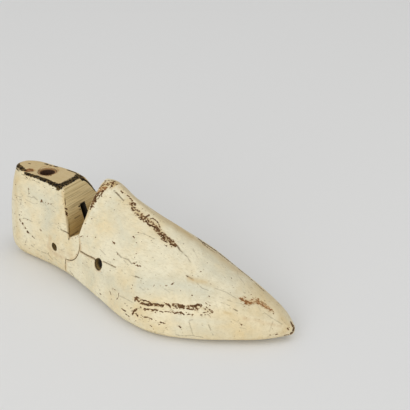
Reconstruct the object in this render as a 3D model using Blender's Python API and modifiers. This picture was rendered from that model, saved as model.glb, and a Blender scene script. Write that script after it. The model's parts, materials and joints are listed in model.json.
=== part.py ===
"""Hinged wooden shoe last: a heel block that folds up on a round knuckle against the forepart,
with the sprung steel link that pulls the two together. Metres, +Z up, toe towards +X."""

import math

import bmesh
import bpy
import numpy as np
from mathutils import Matrix, Vector

MM = 0.001

# The last's size. A grade is one part in 270 of its length, a millimetre here. The form and the places
# of the hardware are counted in grades, so that another size keeps this one's proportions, while the
# hardware itself keeps its own sizes in millimetres.
LAST_LENGTH = 270.0 * MM
GRADE = LAST_LENGTH / 270

# Lengths along the last, from a point near the middle of its sole
HEEL_TURN_X = -110.0 * GRADE
TOE_TURN_X = 131.0 * GRADE
HEEL_BACK_RUN = 27.0 * GRADE
TOE_RUN = 2.6 * GRADE

# Heights and half widths that a last maker would call out
PLATEAU_HEIGHT = 75.5 * GRADE
SAWN_OFF = 12.0 * GRADE
PEAK_HEIGHT = 85.5 * GRADE
BALL_NEAR = 52.6 * GRADE
BALL_FAR = 35.8 * GRADE
HEEL_NEAR = 21.5 * GRADE
HEEL_FAR = 22.6 * GRADE
SOLE_WORN_FLAT = 0.4 * MM

# The V between the blocks, its floor, and the round knuckle under it
HINGE_X = -58.8 * GRADE
HINGE_Z = 37.0 * GRADE
SOCKET_RADIUS = 16.6 * MM
SEAM_GAP = 0.3 * MM
NOTCH_FOOT_Z = 40.2 * GRADE
NOTCH_LIP_Z = 46.0 * GRADE
HEEL_FACE_FOOT_X = -56.2 * GRADE
HEEL_FACE_LEAN = math.radians(19.0)
FORE_FACE_LEAN = math.radians(6.8)
FORE_FACE_BEND_X = -41.85 * GRADE
FORE_FACE_BEND_Z = 60.0 * GRADE
KERF_DEPTH = 2.6 * MM
KERF_WIDTH = 1.1 * MM
LIP_BULGE = 1.6 * MM

# The two cross pins, which stop short of the outside
REAR_PIN_X = -73.8 * GRADE
REAR_PIN_Z = 25.2 * GRADE
REAR_PIN_D = 5.0 * MM
REAR_MOUTH_D = 6.8 * MM
FRONT_PIN_X = -18.4 * GRADE
FRONT_PIN_Z = 32.5 * GRADE
FRONT_PIN_D = 6.0 * MM
FRONT_MOUTH_D = 8.8 * MM
PIN_CLEARANCE = 0.3 * MM
PIN_RECESS = 6.0 * MM
PIN_CHAMFER = 0.5 * MM

# The slot that the link swings in
SLOT_WIDTH = 5.6 * MM
SLOT_CLEARANCE = 0.4 * MM
SAW_RADIUS = 22.5 * MM
SAW_X = -60.5 * GRADE
SAW_Z = 35.0 * GRADE
MORTISE_HALF_HEIGHT = 12.0 * MM
MORTISE_END_ROOM = 2.5 * MM

# The link: a steel plate with an eye at the rear pin and a window round the front one
LINK_EYE_RADIUS = 5.8 * MM
LINK_RIM = 3.0 * MM
WINDOW_SIDE_ROOM = 0.4 * MM
WINDOW_BACK_ROOM = 0.8 * MM
SEAT_PIN_GAP = 0.35 * MM
SEAT_LENGTH = 4.2 * MM
SEAT_SIDE_GAP = 0.3 * MM
SEAT_SPIGOT_LENGTH = 2.4 * MM

# The link's spring
SPRING_WIRE_D = 1.0 * MM
SPRING_TURNS = 6
SPRING_LENGTH = 13.0 * MM
SPRING_END_GAP = 0.3 * MM
SPIGOT_GAP = 0.3 * MM
POINTS_A_TURN = 9

# The steel thimble that lines the jack-pin hole in the heel's top
SOCKET_X = -100.4 * GRADE
SOCKET_Y = 1.5 * GRADE
SOCKET_BORE_D = 12.7 * MM
SOCKET_WALL = 1.4 * MM
SOCKET_DEPTH = 46.0 * MM
SOCKET_CLEARANCE = 0.3 * MM
SOCKET_RIM_DROP = 0.4 * MM

# Stations of the form, each a place along the last and a value there. The near side is -Y. The top
# line is where the two walls meet; over the heel the saw has taken it off at the plateau.
NEAR_OUTLINE = (
    (HEEL_TURN_X, HEEL_NEAR), (-85 * GRADE, 23.0 * GRADE), (-62 * GRADE, 27.5 * GRADE),
    (-35 * GRADE, 35.0 * GRADE), (-10 * GRADE, 43.0 * GRADE), (20 * GRADE, 51.6 * GRADE),
    (45 * GRADE, BALL_NEAR), (70 * GRADE, 44.8 * GRADE), (90 * GRADE, 34.4 * GRADE),
    (106 * GRADE, 23.9 * GRADE), (118 * GRADE, 15.2 * GRADE), (126 * GRADE, 7.6 * GRADE),
    (TOE_TURN_X, 1.6 * GRADE),
)
FAR_OUTLINE = (
    (HEEL_TURN_X, HEEL_FAR), (-85 * GRADE, 24.3 * GRADE), (-62 * GRADE, 28.5 * GRADE),
    (-35 * GRADE, 31.0 * GRADE), (-10 * GRADE, 33.0 * GRADE), (20 * GRADE, 35.0 * GRADE),
    (45 * GRADE, BALL_FAR), (70 * GRADE, 32.4 * GRADE), (90 * GRADE, 27.4 * GRADE),
    (106 * GRADE, 22.2 * GRADE), (118 * GRADE, 17.2 * GRADE), (126 * GRADE, 12.4 * GRADE),
    (TOE_TURN_X, 8.2 * GRADE),
)
SOLE_LINE = (
    (HEEL_TURN_X, 0.0), (-85 * GRADE, 0.5 * GRADE), (-50 * GRADE, 3.0 * GRADE),
    (-20 * GRADE, 2.5 * GRADE), (20 * GRADE, 0.0), (60 * GRADE, 0.0), (90 * GRADE, 1.5 * GRADE),
    (118 * GRADE, 2.6 * GRADE), (TOE_TURN_X, 5.0 * GRADE),
)
WIDEST_HEIGHT = (
    (HEEL_TURN_X, 18 * GRADE), (-62 * GRADE, 15 * GRADE), (-10 * GRADE, 11 * GRADE),
    (45 * GRADE, 11 * GRADE), (90 * GRADE, 10 * GRADE), (TOE_TURN_X, 9 * GRADE),
)
TOP_LINE = (
    (HEEL_TURN_X, PLATEAU_HEIGHT + SAWN_OFF), (-62 * GRADE, PLATEAU_HEIGHT + SAWN_OFF),
    (-40 * GRADE, PEAK_HEIGHT - 0.4 * GRADE), (-30 * GRADE, PEAK_HEIGHT - 0.1 * GRADE),
    (-20 * GRADE, PEAK_HEIGHT - 5.0 * GRADE), (0 * GRADE, 72.4 * GRADE),
    (25 * GRADE, 63.9 * GRADE), (50 * GRADE, 54.8 * GRADE), (75 * GRADE, 42.9 * GRADE),
    (95 * GRADE, 34.7 * GRADE), (112 * GRADE, 26.2 * GRADE), (122 * GRADE, 20.0 * GRADE),
    (TOE_TURN_X, 12.6 * GRADE),
)
RIDGE_LINE = (
    (HEEL_TURN_X, 1.5 * GRADE), (-80 * GRADE, 0.4 * GRADE), (-67 * GRADE, -2.2 * GRADE),
    (-60 * GRADE, -0.4 * GRADE), (-40 * GRADE, 2.6 * GRADE), (0 * GRADE, 0.0), (50 * GRADE, -4.0 * GRADE),
    (100 * GRADE, -2.0 * GRADE), (TOE_TURN_X, 3.0 * GRADE),
)
# Exponents: how full the wall is, how round the ridge is, and how square the feather edge is
WALL_FULLNESS = (
    (HEEL_TURN_X, 1.9), (-62 * GRADE, 1.87), (-20 * GRADE, 1.87), (60 * GRADE, 1.81),
    (TOE_TURN_X, 2.0),
)
RIDGE_ROUND = (
    (HEEL_TURN_X, 2.0), (-80 * GRADE, 2.0), (-67 * GRADE, 1.6), (-40 * GRADE, 1.6),
    (-20 * GRADE, 1.34), (0 * GRADE, 1.37), (50 * GRADE, 1.65), (100 * GRADE, 1.81),
    (TOE_TURN_X, 2.0),
)
FEATHER_EDGE = (
    (HEEL_TURN_X, 3.4), (-62 * GRADE, 3.8), (-10 * GRADE, 4.5), (100 * GRADE, 4.0),
    (TOE_TURN_X, 2.8),
)
# The same for the two ends, where the walls turn round: upright at the heel, pointed at the toe
HEEL_BACK_FULLNESS = 5.0
HEEL_ROUND = 2.25
HEEL_ARC = math.radians(90)
TOE_FULLNESS = 1.3
TOE_ROUND = 2.0
TOE_ARC = math.radians(28)

# How finely the form is divided
SIDE_STATIONS = 45
END_STEPS = 12
SOLE_STEPS = 10
WALL_STEPS = 11
WALL_STEPS_END = math.radians(62)
RIDGE_STEPS = 6
TOE_CROWDING = math.radians(83)
ROUND_SIDES = 32
CUT_MARGIN = 20 * MM


def clear_scene():
    for obj in list(bpy.data.objects):
        bpy.data.objects.remove(obj, do_unlink=True)


def new_collection(name):
    found = bpy.data.collections.new(name)
    bpy.context.scene.collection.children.link(found)
    return found


def material(name, colour, roughness, metallic=0.0):
    made = bpy.data.materials.new(name)
    made.use_nodes = True
    shader = made.node_tree.nodes["Principled BSDF"]
    shader.inputs["Base Color"].default_value = (*colour, 1.0)
    shader.inputs["Roughness"].default_value = roughness
    shader.inputs["Metallic"].default_value = metallic
    return made


def through(stations, x):
    """The smooth curve through the stations, read at x."""
    places, values = (np.array(column) for column in zip(*stations))
    slopes = np.gradient(values, places)
    x = np.clip(x, places[0], places[-1])
    i = np.clip(np.searchsorted(places, x) - 1, 0, len(places) - 2)
    run = places[i + 1] - places[i]
    t = (x - places[i]) / run
    return (
        values[i] * (2 * t**3 - 3 * t**2 + 1)
        + slopes[i] * run * (t**3 - 2 * t**2 + t)
        + values[i + 1] * (3 * t**2 - 2 * t**3)
        + slopes[i + 1] * run * (t**3 - t**2)
    )


def shape_at(x):
    """Every measure of the cross-section at x."""
    return {
        "near": through(NEAR_OUTLINE, x),
        "far": through(FAR_OUTLINE, x),
        "sole": through(SOLE_LINE, x),
        "widest": through(WIDEST_HEIGHT, x),
        "top": through(TOP_LINE, x),
        "ridge": through(RIDGE_LINE, x),
        "fullness": through(WALL_FULLNESS, x),
        "ridge_round": through(RIDGE_ROUND, x),
        "feather": through(FEATHER_EDGE, x),
    }


def half_section(shape, half, ridge_round):
    """Points (out, up) from the middle of the sole, round the feather edge and up the wall to the
    top line."""
    points = []
    widest = shape["widest"]
    for step in range(SOLE_STEPS):
        turn = math.pi / 2 * (1 - step / SOLE_STEPS)
        power = 2 / shape["feather"]
        out = 0.0 if step == 0 else half * math.cos(turn) ** power
        up = widest - (widest - shape["sole"] + SOLE_WORN_FLAT) * math.sin(turn) ** power
        points.append((out, max(up, 0.0)))
    turns = [WALL_STEPS_END * step / WALL_STEPS for step in range(WALL_STEPS)]
    left = math.pi / 2 - WALL_STEPS_END
    turns += [WALL_STEPS_END + left * step / RIDGE_STEPS for step in range(RIDGE_STEPS)]
    for turn in turns:
        out = half * math.cos(turn) ** (2 / ridge_round)
        points.append((out, widest + (shape["top"] - widest) * math.sin(turn) ** (2 / shape["fullness"])))
    return points + [(0.0, shape["top"])]


def middle_at(shape, up):
    """The section's middle leans from the outline's middle, at its widest, to the ridge."""
    outline_middle = (shape["far"] - shape["near"]) / 2
    share = min(max((up - shape["widest"]) / (shape["top"] - shape["widest"]), 0.0), 1.0)
    return outline_middle + (shape["ridge"] - outline_middle) * share


def side_column(x, side):
    shape = shape_at(x)
    half = (shape["far"] + shape["near"]) / 2
    section = half_section(shape, half, shape["ridge_round"])
    return [(x, middle_at(shape, up) + side * out, up) for out, up in section]


def end_columns(x, forward, run, fullness, roundness, reach_of_arc):
    """Columns that turn round an end of the last, from its near side to its far side. A short arc
    meets the sides at a slant, as at the pointed toe."""
    shape = shape_at(x)
    across = half_section(shape, (shape["far"] + shape["near"]) / 2, shape["ridge_round"])
    along = half_section(shape, run, fullness)
    least = math.cos(reach_of_arc) if reach_of_arc < math.pi / 2 else 0.0
    most = math.sin(reach_of_arc)
    columns = []
    for step in range(1, END_STEPS):
        turn = reach_of_arc * (2 * step / END_STEPS - 1)
        ahead = (math.cos(turn) ** (2 / roundness) - least) / (1 - least)
        aside = math.copysign(abs(math.sin(turn) / most) ** (2 / roundness), turn)
        columns.append([
            (x + forward * reach * ahead, middle_at(shape, up) + out * aside, up)
            for (out, up), (reach, _) in zip(across, along)
        ])
    return columns


def last_mesh(name):
    """The whole last, before it is sawn in two: columns of points side by side round its edge, which
    share the middle line of the sole and of the top."""
    shares = np.sin(np.linspace(0, TOE_CROWDING, SIDE_STATIONS)) / math.sin(TOE_CROWDING)
    places = HEEL_TURN_X + (TOE_TURN_X - HEEL_TURN_X) * shares
    final = SIDE_STATIONS - 1
    toe_end = end_columns(TOE_TURN_X, 1, TOE_RUN, TOE_FULLNESS, TOE_ROUND, TOE_ARC)
    heel_end = end_columns(
        HEEL_TURN_X, -1, HEEL_BACK_RUN, HEEL_BACK_FULLNESS, HEEL_ROUND, HEEL_ARC,
    )
    columns = [(side_column(x, -1), i) for i, x in enumerate(places)]
    columns += [(column, final) for column in toe_end]
    columns += [(side_column(x, 1), i) for i, x in reversed(list(enumerate(places)))]
    columns += [(column, 0) for column in reversed(heel_end)]

    form = bmesh.new()
    middles = {}
    rows = []
    for column, station in columns:
        row = []
        for level, point in enumerate(column):
            if level in (0, len(column) - 1):
                key = (station, level)
                if key not in middles:
                    middles[key] = form.verts.new(point)
                row.append(middles[key])
            else:
                row.append(form.verts.new(point))
        rows.append(row)
    for here, there in zip(rows, rows[1:] + rows[:1]):
        for level in range(len(here) - 1):
            corners = [here[level], there[level], there[level + 1], here[level + 1]]
            form.faces.new(list(dict.fromkeys(corners)))
    bmesh.ops.recalc_face_normals(form, faces=form.faces)
    return mesh_from(form, name)


def mesh_from(form, name):
    mesh = bpy.data.meshes.new(name)
    form.to_mesh(mesh)
    form.free()
    return mesh


def smooth(mesh, degrees=35):
    mesh.shade_smooth()
    mesh.set_sharp_from_angle(angle=math.radians(degrees))


def empty(name, place, parent=None):
    made = bpy.data.objects.new(name, None)
    made.empty_display_size = 10 * MM
    parts.objects.link(made)
    offset = Vector(place)
    if parent:
        made.parent = parent
        offset = offset - OFFSETS[parent.name]
    made.location = offset
    OFFSETS[name] = Vector(place) if parent else Vector((0, 0, 0))
    return made


def attach(obj, parent):
    """The object's points are measured from the last's middle, whichever empty carries it."""
    obj.parent = parent
    obj.matrix_parent_inverse = Matrix.Translation(-OFFSETS[parent.name])
    return obj


def part(name, data, parent, finish):
    made = bpy.data.objects.new(name, data)
    parts.objects.link(made)
    data.materials.append(finish)
    return attach(made, parent)


def cutter(name, mesh):
    made = bpy.data.objects.new(name, mesh)
    cutters.objects.link(made)
    made.hide_render = True
    made.display_type = "WIRE"
    return attach(made, last)


def boolean(obj, operation, other):
    made = obj.modifiers.new(f"{operation.lower()} {other.name}", "BOOLEAN")
    made.operation = operation
    made.object = other
    made.solver = "EXACT"


def prism(name, outline, half_width):
    """An outline in the plane of x and z, given thickness across the last."""
    form = bmesh.new()
    face = form.faces.new([form.verts.new((x, -half_width, z)) for x, z in outline])
    extruded = bmesh.ops.extrude_face_region(form, geom=[face])
    moved = [item for item in extruded["geom"] if isinstance(item, bmesh.types.BMVert)]
    bmesh.ops.translate(form, verts=moved, vec=(0, 2 * half_width, 0))
    bmesh.ops.recalc_face_normals(form, faces=form.faces)
    return mesh_from(form, name)


def arc(centre, radius, start, end, steps):
    """Points in the plane of x and z, with angles from +X towards +Z."""
    angles = [start + (end - start) * i / steps for i in range(steps + 1)]
    return [(centre[0] + radius * math.cos(a), centre[1] + radius * math.sin(a)) for a in angles]


def bar(name, centre, diameter, length, direction, chamfer=0.0):
    """A round bar about a centre point, along a direction."""
    form = bmesh.new()
    turn = Vector((0, 0, 1)).rotation_difference(Vector(direction)).to_matrix().to_4x4()
    bmesh.ops.create_cone(
        form, cap_ends=True, segments=ROUND_SIDES, radius1=diameter / 2, radius2=diameter / 2,
        depth=length, matrix=Matrix.Translation(centre) @ turn,
    )
    if chamfer:
        rims = [edge for edge in form.edges if any(len(face.verts) > 4 for face in edge.link_faces)]
        bmesh.ops.bevel(form, geom=rims, offset=chamfer, segments=1, affect="EDGES")
    bmesh.ops.recalc_face_normals(form, faces=form.faces)
    return mesh_from(form, name)


def wall_at(x, z, side):
    """How far the outside lies from the last's mid-plane at a place on one of its sides."""
    column = side_column(x, side)
    outs = [point[1] for point in column if point[2] > shape_at(x)["widest"]]
    ups = [point[2] for point in column if point[2] > shape_at(x)["widest"]]
    return float(np.interp(z, ups, outs))


def seam_outline(inset):
    """The knuckle's arc and the lip below it, from the notch's lip down past the sole. The inset
    is measured from the forepart's surface into the heel block."""
    hinge = (HINGE_X, HINGE_Z)
    radius = SOCKET_RADIUS - inset
    start = math.asin((NOTCH_LIP_Z - HINGE_Z) / radius)
    knuckle = arc(hinge, radius, start, -math.pi / 2, 22)
    corner_z = HINGE_Z - SOCKET_RADIUS + inset
    lip = []
    for step in range(1, 9):
        share = step / 8
        bow = LIP_BULGE * math.sin(math.pi * min(share * 1.15, 1.0))
        lip.append((HINGE_X - inset - bow, corner_z * (1 - share)))
    return knuckle + [(HINGE_X - inset, corner_z)] + lip if inset else knuckle + lip


def heel_region():
    """The outline that keeps the heel block: its top is sawn flat at the plateau, and the V's floor
    rises from the foot of the heel's face to the lip at the forepart."""
    high = PLATEAU_HEIGHT
    far_back = HEEL_TURN_X - HEEL_BACK_RUN - CUT_MARGIN
    top_x = HEEL_FACE_FOOT_X - (high - NOTCH_FOOT_Z) * math.tan(HEEL_FACE_LEAN)
    kerf = [
        (HEEL_FACE_FOOT_X, NOTCH_FOOT_Z - KERF_DEPTH),
        (HEEL_FACE_FOOT_X + KERF_WIDTH, NOTCH_FOOT_Z - KERF_DEPTH),
        (HEEL_FACE_FOOT_X + KERF_WIDTH, NOTCH_FOOT_Z),
    ]
    seam = seam_outline(SEAM_GAP)
    low = -CUT_MARGIN
    return [(far_back, high), (top_x, high)] + kerf + seam + [(seam[-1][0], low), (far_back, low)]


def fore_region():
    """The outline that keeps the forepart. Its face on the V leans back more near the lip."""
    high = PEAK_HEIGHT + CUT_MARGIN
    far_front = TOE_TURN_X + TOE_RUN + CUT_MARGIN
    seam = seam_outline(0.0)
    top_x = FORE_FACE_BEND_X + (high - FORE_FACE_BEND_Z) * math.tan(FORE_FACE_LEAN)
    bend = (FORE_FACE_BEND_X, FORE_FACE_BEND_Z)
    low = -CUT_MARGIN
    return [(top_x, high), bend] + seam + [(seam[-1][0], low), (far_front, low), (far_front, high)]


def pin_bore(name, x, z, diameter):
    return cutter(name, bar(name, (x, 0, z), diameter, 4 * BALL_NEAR, (0, 1, 0)))


def pin_mouths(block, which, x, z, diameter):
    """Opens a bore out to a wider mouth, from the pin's end to the outside, on both sides."""
    for side, place in ((-1, "near"), (1, "far")):
        outside = wall_at(x, z, side)
        inner = outside - side * PIN_RECESS
        outer = outside + side * CUT_MARGIN
        name = f"{which}_{place}_mouth"
        mouth = cutter(name, bar(
            name, (x, (inner + outer) / 2, z), diameter, abs(outer - inner), (0, 1, 0),
        ))
        boolean(block, "DIFFERENCE", mouth)


def cross_pin(name, x, z, diameter, parent):
    """A steel pin across the last, short of the outside by the same recess at each end."""
    near = wall_at(x, z, -1) + PIN_RECESS
    far = wall_at(x, z, 1) - PIN_RECESS
    mesh = bar(name, (x, (near + far) / 2, z), diameter, far - near, (0, 1, 0), PIN_CHAMFER)
    smooth(mesh)
    return part(name, mesh, parent, steel)


def heel_block():
    region = cutter("heel_region", prism("heel_region", heel_region(), 3 * BALL_NEAR))
    slot = cutter("saw_slot", prism(
        "saw_slot", arc((SAW_X, SAW_Z), SAW_RADIUS, 0, 2 * math.pi, 2 * ROUND_SIDES)[:-1],
        SLOT_WIDTH / 2,
    ))
    bore = pin_bore("rear_bore", REAR_PIN_X, REAR_PIN_Z, REAR_PIN_D + 2 * PIN_CLEARANCE)
    hole_d = SOCKET_BORE_D + 2 * (SOCKET_WALL + SOCKET_CLEARANCE)
    floor_z = PLATEAU_HEIGHT - SOCKET_DEPTH - SOCKET_CLEARANCE
    hole_top = PLATEAU_HEIGHT + CUT_MARGIN
    hole = cutter("socket_hole", bar(
        "socket_hole", (SOCKET_X, SOCKET_Y, (floor_z + hole_top) / 2), hole_d,
        hole_top - floor_z, (0, 0, 1),
    ))
    block = part("heel_block", last_mesh("heel_block"), heel_axis, painted_wood)
    boolean(block, "INTERSECT", region)
    for tool in (slot, bore, hole):
        boolean(block, "DIFFERENCE", tool)
    pin_mouths(block, "rear", REAR_PIN_X, REAR_PIN_Z, REAR_MOUTH_D)
    return block


def mortise_end_x():
    return link_front_x() + MORTISE_END_ROOM


def forepart():
    region = cutter("fore_region", prism("fore_region", fore_region(), 3 * BALL_NEAR))
    end = (mortise_end_x() - MORTISE_HALF_HEIGHT, FRONT_PIN_Z)
    start_x = HINGE_X
    outline = arc(end, MORTISE_HALF_HEIGHT, -math.pi / 2, math.pi / 2, 16)
    outline += [(start_x, FRONT_PIN_Z + MORTISE_HALF_HEIGHT), (start_x, FRONT_PIN_Z - MORTISE_HALF_HEIGHT)]
    mortise = cutter("mortise", prism("mortise", outline, SLOT_WIDTH / 2))
    bore = pin_bore("front_bore", FRONT_PIN_X, FRONT_PIN_Z, FRONT_PIN_D + 2 * PIN_CLEARANCE)
    block = part("forepart", last_mesh("forepart"), last, painted_wood)
    boolean(block, "INTERSECT", region)
    boolean(block, "DIFFERENCE", mortise)
    boolean(block, "DIFFERENCE", bore)
    pin_mouths(block, "front", FRONT_PIN_X, FRONT_PIN_Z, FRONT_MOUTH_D)
    return block


def socket_thimble():
    """An open-ended steel tube, turned from a profile that runs round its wall."""
    inner = SOCKET_BORE_D / 2
    outer = inner + SOCKET_WALL
    low, high = PLATEAU_HEIGHT - SOCKET_DEPTH, PLATEAU_HEIGHT - SOCKET_RIM_DROP
    ease = SOCKET_WALL / 3
    profile = [
        (outer, high - ease), (outer, low), (inner, low), (inner, high - ease),
        (inner + ease, high), (outer - ease, high),
    ]
    form = bmesh.new()
    points = [form.verts.new((r, 0, z)) for r, z in profile]
    for a, b in zip(points, points[1:] + points[:1]):
        form.edges.new((a, b))
    thimble = part("socket_thimble", mesh_from(form, "socket_thimble"), heel_axis, rusty_steel)
    thimble.location = (SOCKET_X, SOCKET_Y, 0)
    turned = thimble.modifiers.new("turned", "SCREW")
    turned.steps = turned.render_steps = ROUND_SIDES
    turned.use_merge_vertices = True
    turned.merge_threshold = 0.00001
    return thimble


def link_direction():
    run = Vector((FRONT_PIN_X - REAR_PIN_X, 0, FRONT_PIN_Z - REAR_PIN_Z))
    return run.normalized()


def pin_distance():
    return math.hypot(FRONT_PIN_X - REAR_PIN_X, FRONT_PIN_Z - REAR_PIN_Z)


def window_half():
    return FRONT_PIN_D / 2 + WINDOW_SIDE_ROOM


def seat_start():
    """Places along the link, counted from the rear pin."""
    return pin_distance() + FRONT_PIN_D / 2 + SEAT_PIN_GAP


def spring_start():
    return seat_start() + SEAT_LENGTH + SPRING_END_GAP


def window_end():
    return spring_start() + SPRING_LENGTH + SPRING_END_GAP


def link_front_x():
    reach = window_end() + LINK_RIM
    return REAR_PIN_X + reach * link_direction().x


def link_placed(obj):
    """Turns a piece drawn along +X from the rear pin to where the link lies."""
    direction = link_direction()
    angle = -math.atan2(direction.z, direction.x)
    turn = Matrix.Rotation(angle, 4, "Y")
    obj.matrix_basis = Matrix.Translation((REAR_PIN_X, 0, REAR_PIN_Z)) @ turn
    return obj


def closed_spline(curve, outline):
    spline = curve.splines.new("POLY")
    spline.points.add(len(outline) - 1)
    for point, (x, y) in zip(spline.points, outline):
        point.co = (x, y, 0, 1)
    spline.use_cyclic_u = True


def hinge_link():
    """A flat plate: its outline, the eye and the window are one flat curve with thickness."""
    curve = bpy.data.curves.new("hinge_link", "CURVE")
    curve.dimensions = "2D"
    curve.fill_mode = "BOTH"
    curve.extrude = SLOT_WIDTH / 2 - SLOT_CLEARANCE
    frame_half = window_half() + LINK_RIM
    nose_x = window_end() + LINK_RIM - frame_half
    closed_spline(curve, arc((0, 0), LINK_EYE_RADIUS, math.pi / 2, math.pi * 1.5, 14)
                  + arc((nose_x, 0), frame_half, -math.pi / 2, math.pi / 2, 14))
    eye = REAR_PIN_D / 2 + PIN_CLEARANCE
    closed_spline(curve, arc((0, 0), eye, 0, 2 * math.pi, 20)[:-1])
    back = pin_distance() - FRONT_PIN_D / 2 - WINDOW_BACK_ROOM
    half = window_half()
    closed_spline(curve, [(back, -half), (window_end(), -half), (window_end(), half), (back, half)])
    flat = bpy.data.objects.new("link_outline", curve)
    parts.objects.link(flat)
    mesh = bpy.data.meshes.new_from_object(flat.evaluated_get(bpy.context.evaluated_depsgraph_get()))
    bpy.data.objects.remove(flat, do_unlink=True)
    form = bmesh.new()
    form.from_mesh(mesh)
    bmesh.ops.remove_doubles(form, verts=form.verts, dist=0.00001)
    bmesh.ops.rotate(form, verts=form.verts, matrix=Matrix.Rotation(math.pi / 2, 3, "X"))
    bmesh.ops.recalc_face_normals(form, faces=form.faces)
    form.to_mesh(mesh)
    form.free()
    mesh.name = "hinge_link"
    mesh.materials.clear()
    return link_placed(part("hinge_link", mesh, link_axis, steel))


def spring_radius():
    """The middle of the wire, so that the spring is as wide as the link is thick."""
    return (SLOT_WIDTH / 2 - SLOT_CLEARANCE) - SPRING_WIRE_D / 2


def spigot_diameter():
    return 2 * (spring_radius() - SPRING_WIRE_D / 2 - SPIGOT_GAP)


def link_spring():
    """A compression spring: one wire, wound at an even pitch, with a short straight end each way."""
    steps = SPRING_TURNS * POINTS_A_TURN
    radius = spring_radius()
    rise = SPRING_LENGTH - SPRING_WIRE_D
    points = []
    for step in range(steps + 1):
        turn = 2 * math.pi * step / POINTS_A_TURN
        along = spring_start() + SPRING_WIRE_D / 2 + rise * step / steps
        points.append(Vector((along, radius * math.cos(turn), radius * math.sin(turn))))
    straight_end = Vector((0, 0, SPRING_WIRE_D))
    points = [points[0] - straight_end] + points + [points[-1] + straight_end]
    curve = bpy.data.curves.new("link_spring", "CURVE")
    curve.dimensions = "3D"
    curve.bevel_depth = SPRING_WIRE_D / 2
    curve.bevel_resolution = 1
    curve.use_fill_caps = True
    spline = curve.splines.new("POLY")
    spline.points.add(len(points) - 1)
    for target, point in zip(spline.points, points):
        target.co = (*point, 1)
    gap = least_gap(points) - SPRING_WIRE_D
    print(f"spring: {SPRING_TURNS} turns, least gap between turns {gap / MM:.2f} mm")
    return link_placed(part("link_spring", curve, link_axis, spring_steel))


def least_gap(points):
    """The least distance between points more than half a turn apart along the wire."""
    apart = POINTS_A_TURN // 2 + 1
    return min(
        (a - b).length for i, a in enumerate(points) for b in points[i + apart:]
    )


def spring_seat():
    """A small steel block, hollowed to bear on the front pin, with a spigot for the spring."""
    form = bmesh.new()
    bmesh.ops.create_cube(form, size=1.0)
    size = (SEAT_LENGTH, SLOT_WIDTH - 2 * SLOT_CLEARANCE, 2 * (window_half() - SEAT_SIDE_GAP))
    bmesh.ops.scale(form, verts=form.verts, vec=size)
    bmesh.ops.translate(form, verts=form.verts, vec=(seat_start() + SEAT_LENGTH / 2, 0, 0))
    seat = part("spring_seat", mesh_from(form, "spring_seat"), seat_axis, steel)
    link_placed(seat)
    direction = link_direction()
    base = Vector((REAR_PIN_X, 0, REAR_PIN_Z))
    middle = base + direction * (seat_start() + SEAT_LENGTH + SEAT_SPIGOT_LENGTH / 2 - SPIGOT_GAP)
    spigot = cutter("seat_spigot", bar(
        "seat_spigot", middle, spigot_diameter(), SEAT_SPIGOT_LENGTH + 2 * SPIGOT_GAP, direction,
    ))
    hollow_radius = FRONT_PIN_D / 2 + SEAT_PIN_GAP
    hollow_centre = base + direction * (pin_distance() + SEAT_PIN_GAP * 2)
    hollow = cutter("seat_hollow", bar(
        "seat_hollow", hollow_centre, 2 * hollow_radius, 2 * SLOT_WIDTH, (0, 1, 0),
    ))
    boolean(seat, "UNION", spigot)
    boolean(seat, "DIFFERENCE", hollow)
    return seat


def middle_of_form():
    """The middle of the finished last's length and width, which goes to the origin."""
    mesh = last_mesh("measure")
    points = np.array([vertex.co for vertex in mesh.vertices])
    bpy.data.meshes.remove(mesh)
    return (points.min(axis=0) + points.max(axis=0)) / 2


clear_scene()
parts = new_collection("hinged_last")
cutters = new_collection("cutters")
OFFSETS = {}

painted_wood = material("aged_cream_paint", (0.75, 0.66, 0.47), 0.55)
steel = material("dark_steel", (0.22, 0.20, 0.18), 0.45, 1.0)
spring_steel = material("spring_steel", (0.16, 0.15, 0.14), 0.4, 1.0)
rusty_steel = material("rusty_steel", (0.20, 0.09, 0.04), 0.8, 0.4)

form_middle = middle_of_form()
last = empty("last", (-form_middle[0], -form_middle[1], 0))
heel_axis = empty("heel_fold_axis", (HINGE_X, 0, HINGE_Z), last)
link_axis = empty("link_swing_axis", (REAR_PIN_X, 0, REAR_PIN_Z), heel_axis)
seat_axis = empty("seat_slide_axis", (FRONT_PIN_X, 0, FRONT_PIN_Z), link_axis)

for block in (forepart(), heel_block()):
    smooth(block.data)
socket_thimble()
cross_pin("front_hinge_pin", FRONT_PIN_X, FRONT_PIN_Z, FRONT_PIN_D, last)
cross_pin("rear_hinge_pin", REAR_PIN_X, REAR_PIN_Z, REAR_PIN_D, heel_axis)
hinge_link()
spring_seat()
link_spring()

bpy.context.view_layer.update()
for axis in (heel_axis, link_axis, seat_axis):
    print(axis.name, [round(value, 5) for value in axis.matrix_world.translation])
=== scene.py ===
# %% [markdown]
# # A hinged shoe last in old cream paint
#
# A last is the wooden foot that a shoe is built on. This one is sawn in two at a V, so that its heel
# folds up and the last comes out of the finished shoe. It was painted cream long ago, and use has
# chipped, stained and scuffed it.
#
# This lesson dresses them. Hard steel pieces keep their solids and get a finish, and the spring is wound
# again more finely. The two wooden blocks are made again with a fine mesh, because worn edges, chips and
# saw marks have to be real shape.

# %% Load the solids
import json
import math

import bpy
import numpy as np
from mathutils import Matrix, Vector, noise
from mathutils.bvhtree import BVHTree


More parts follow.
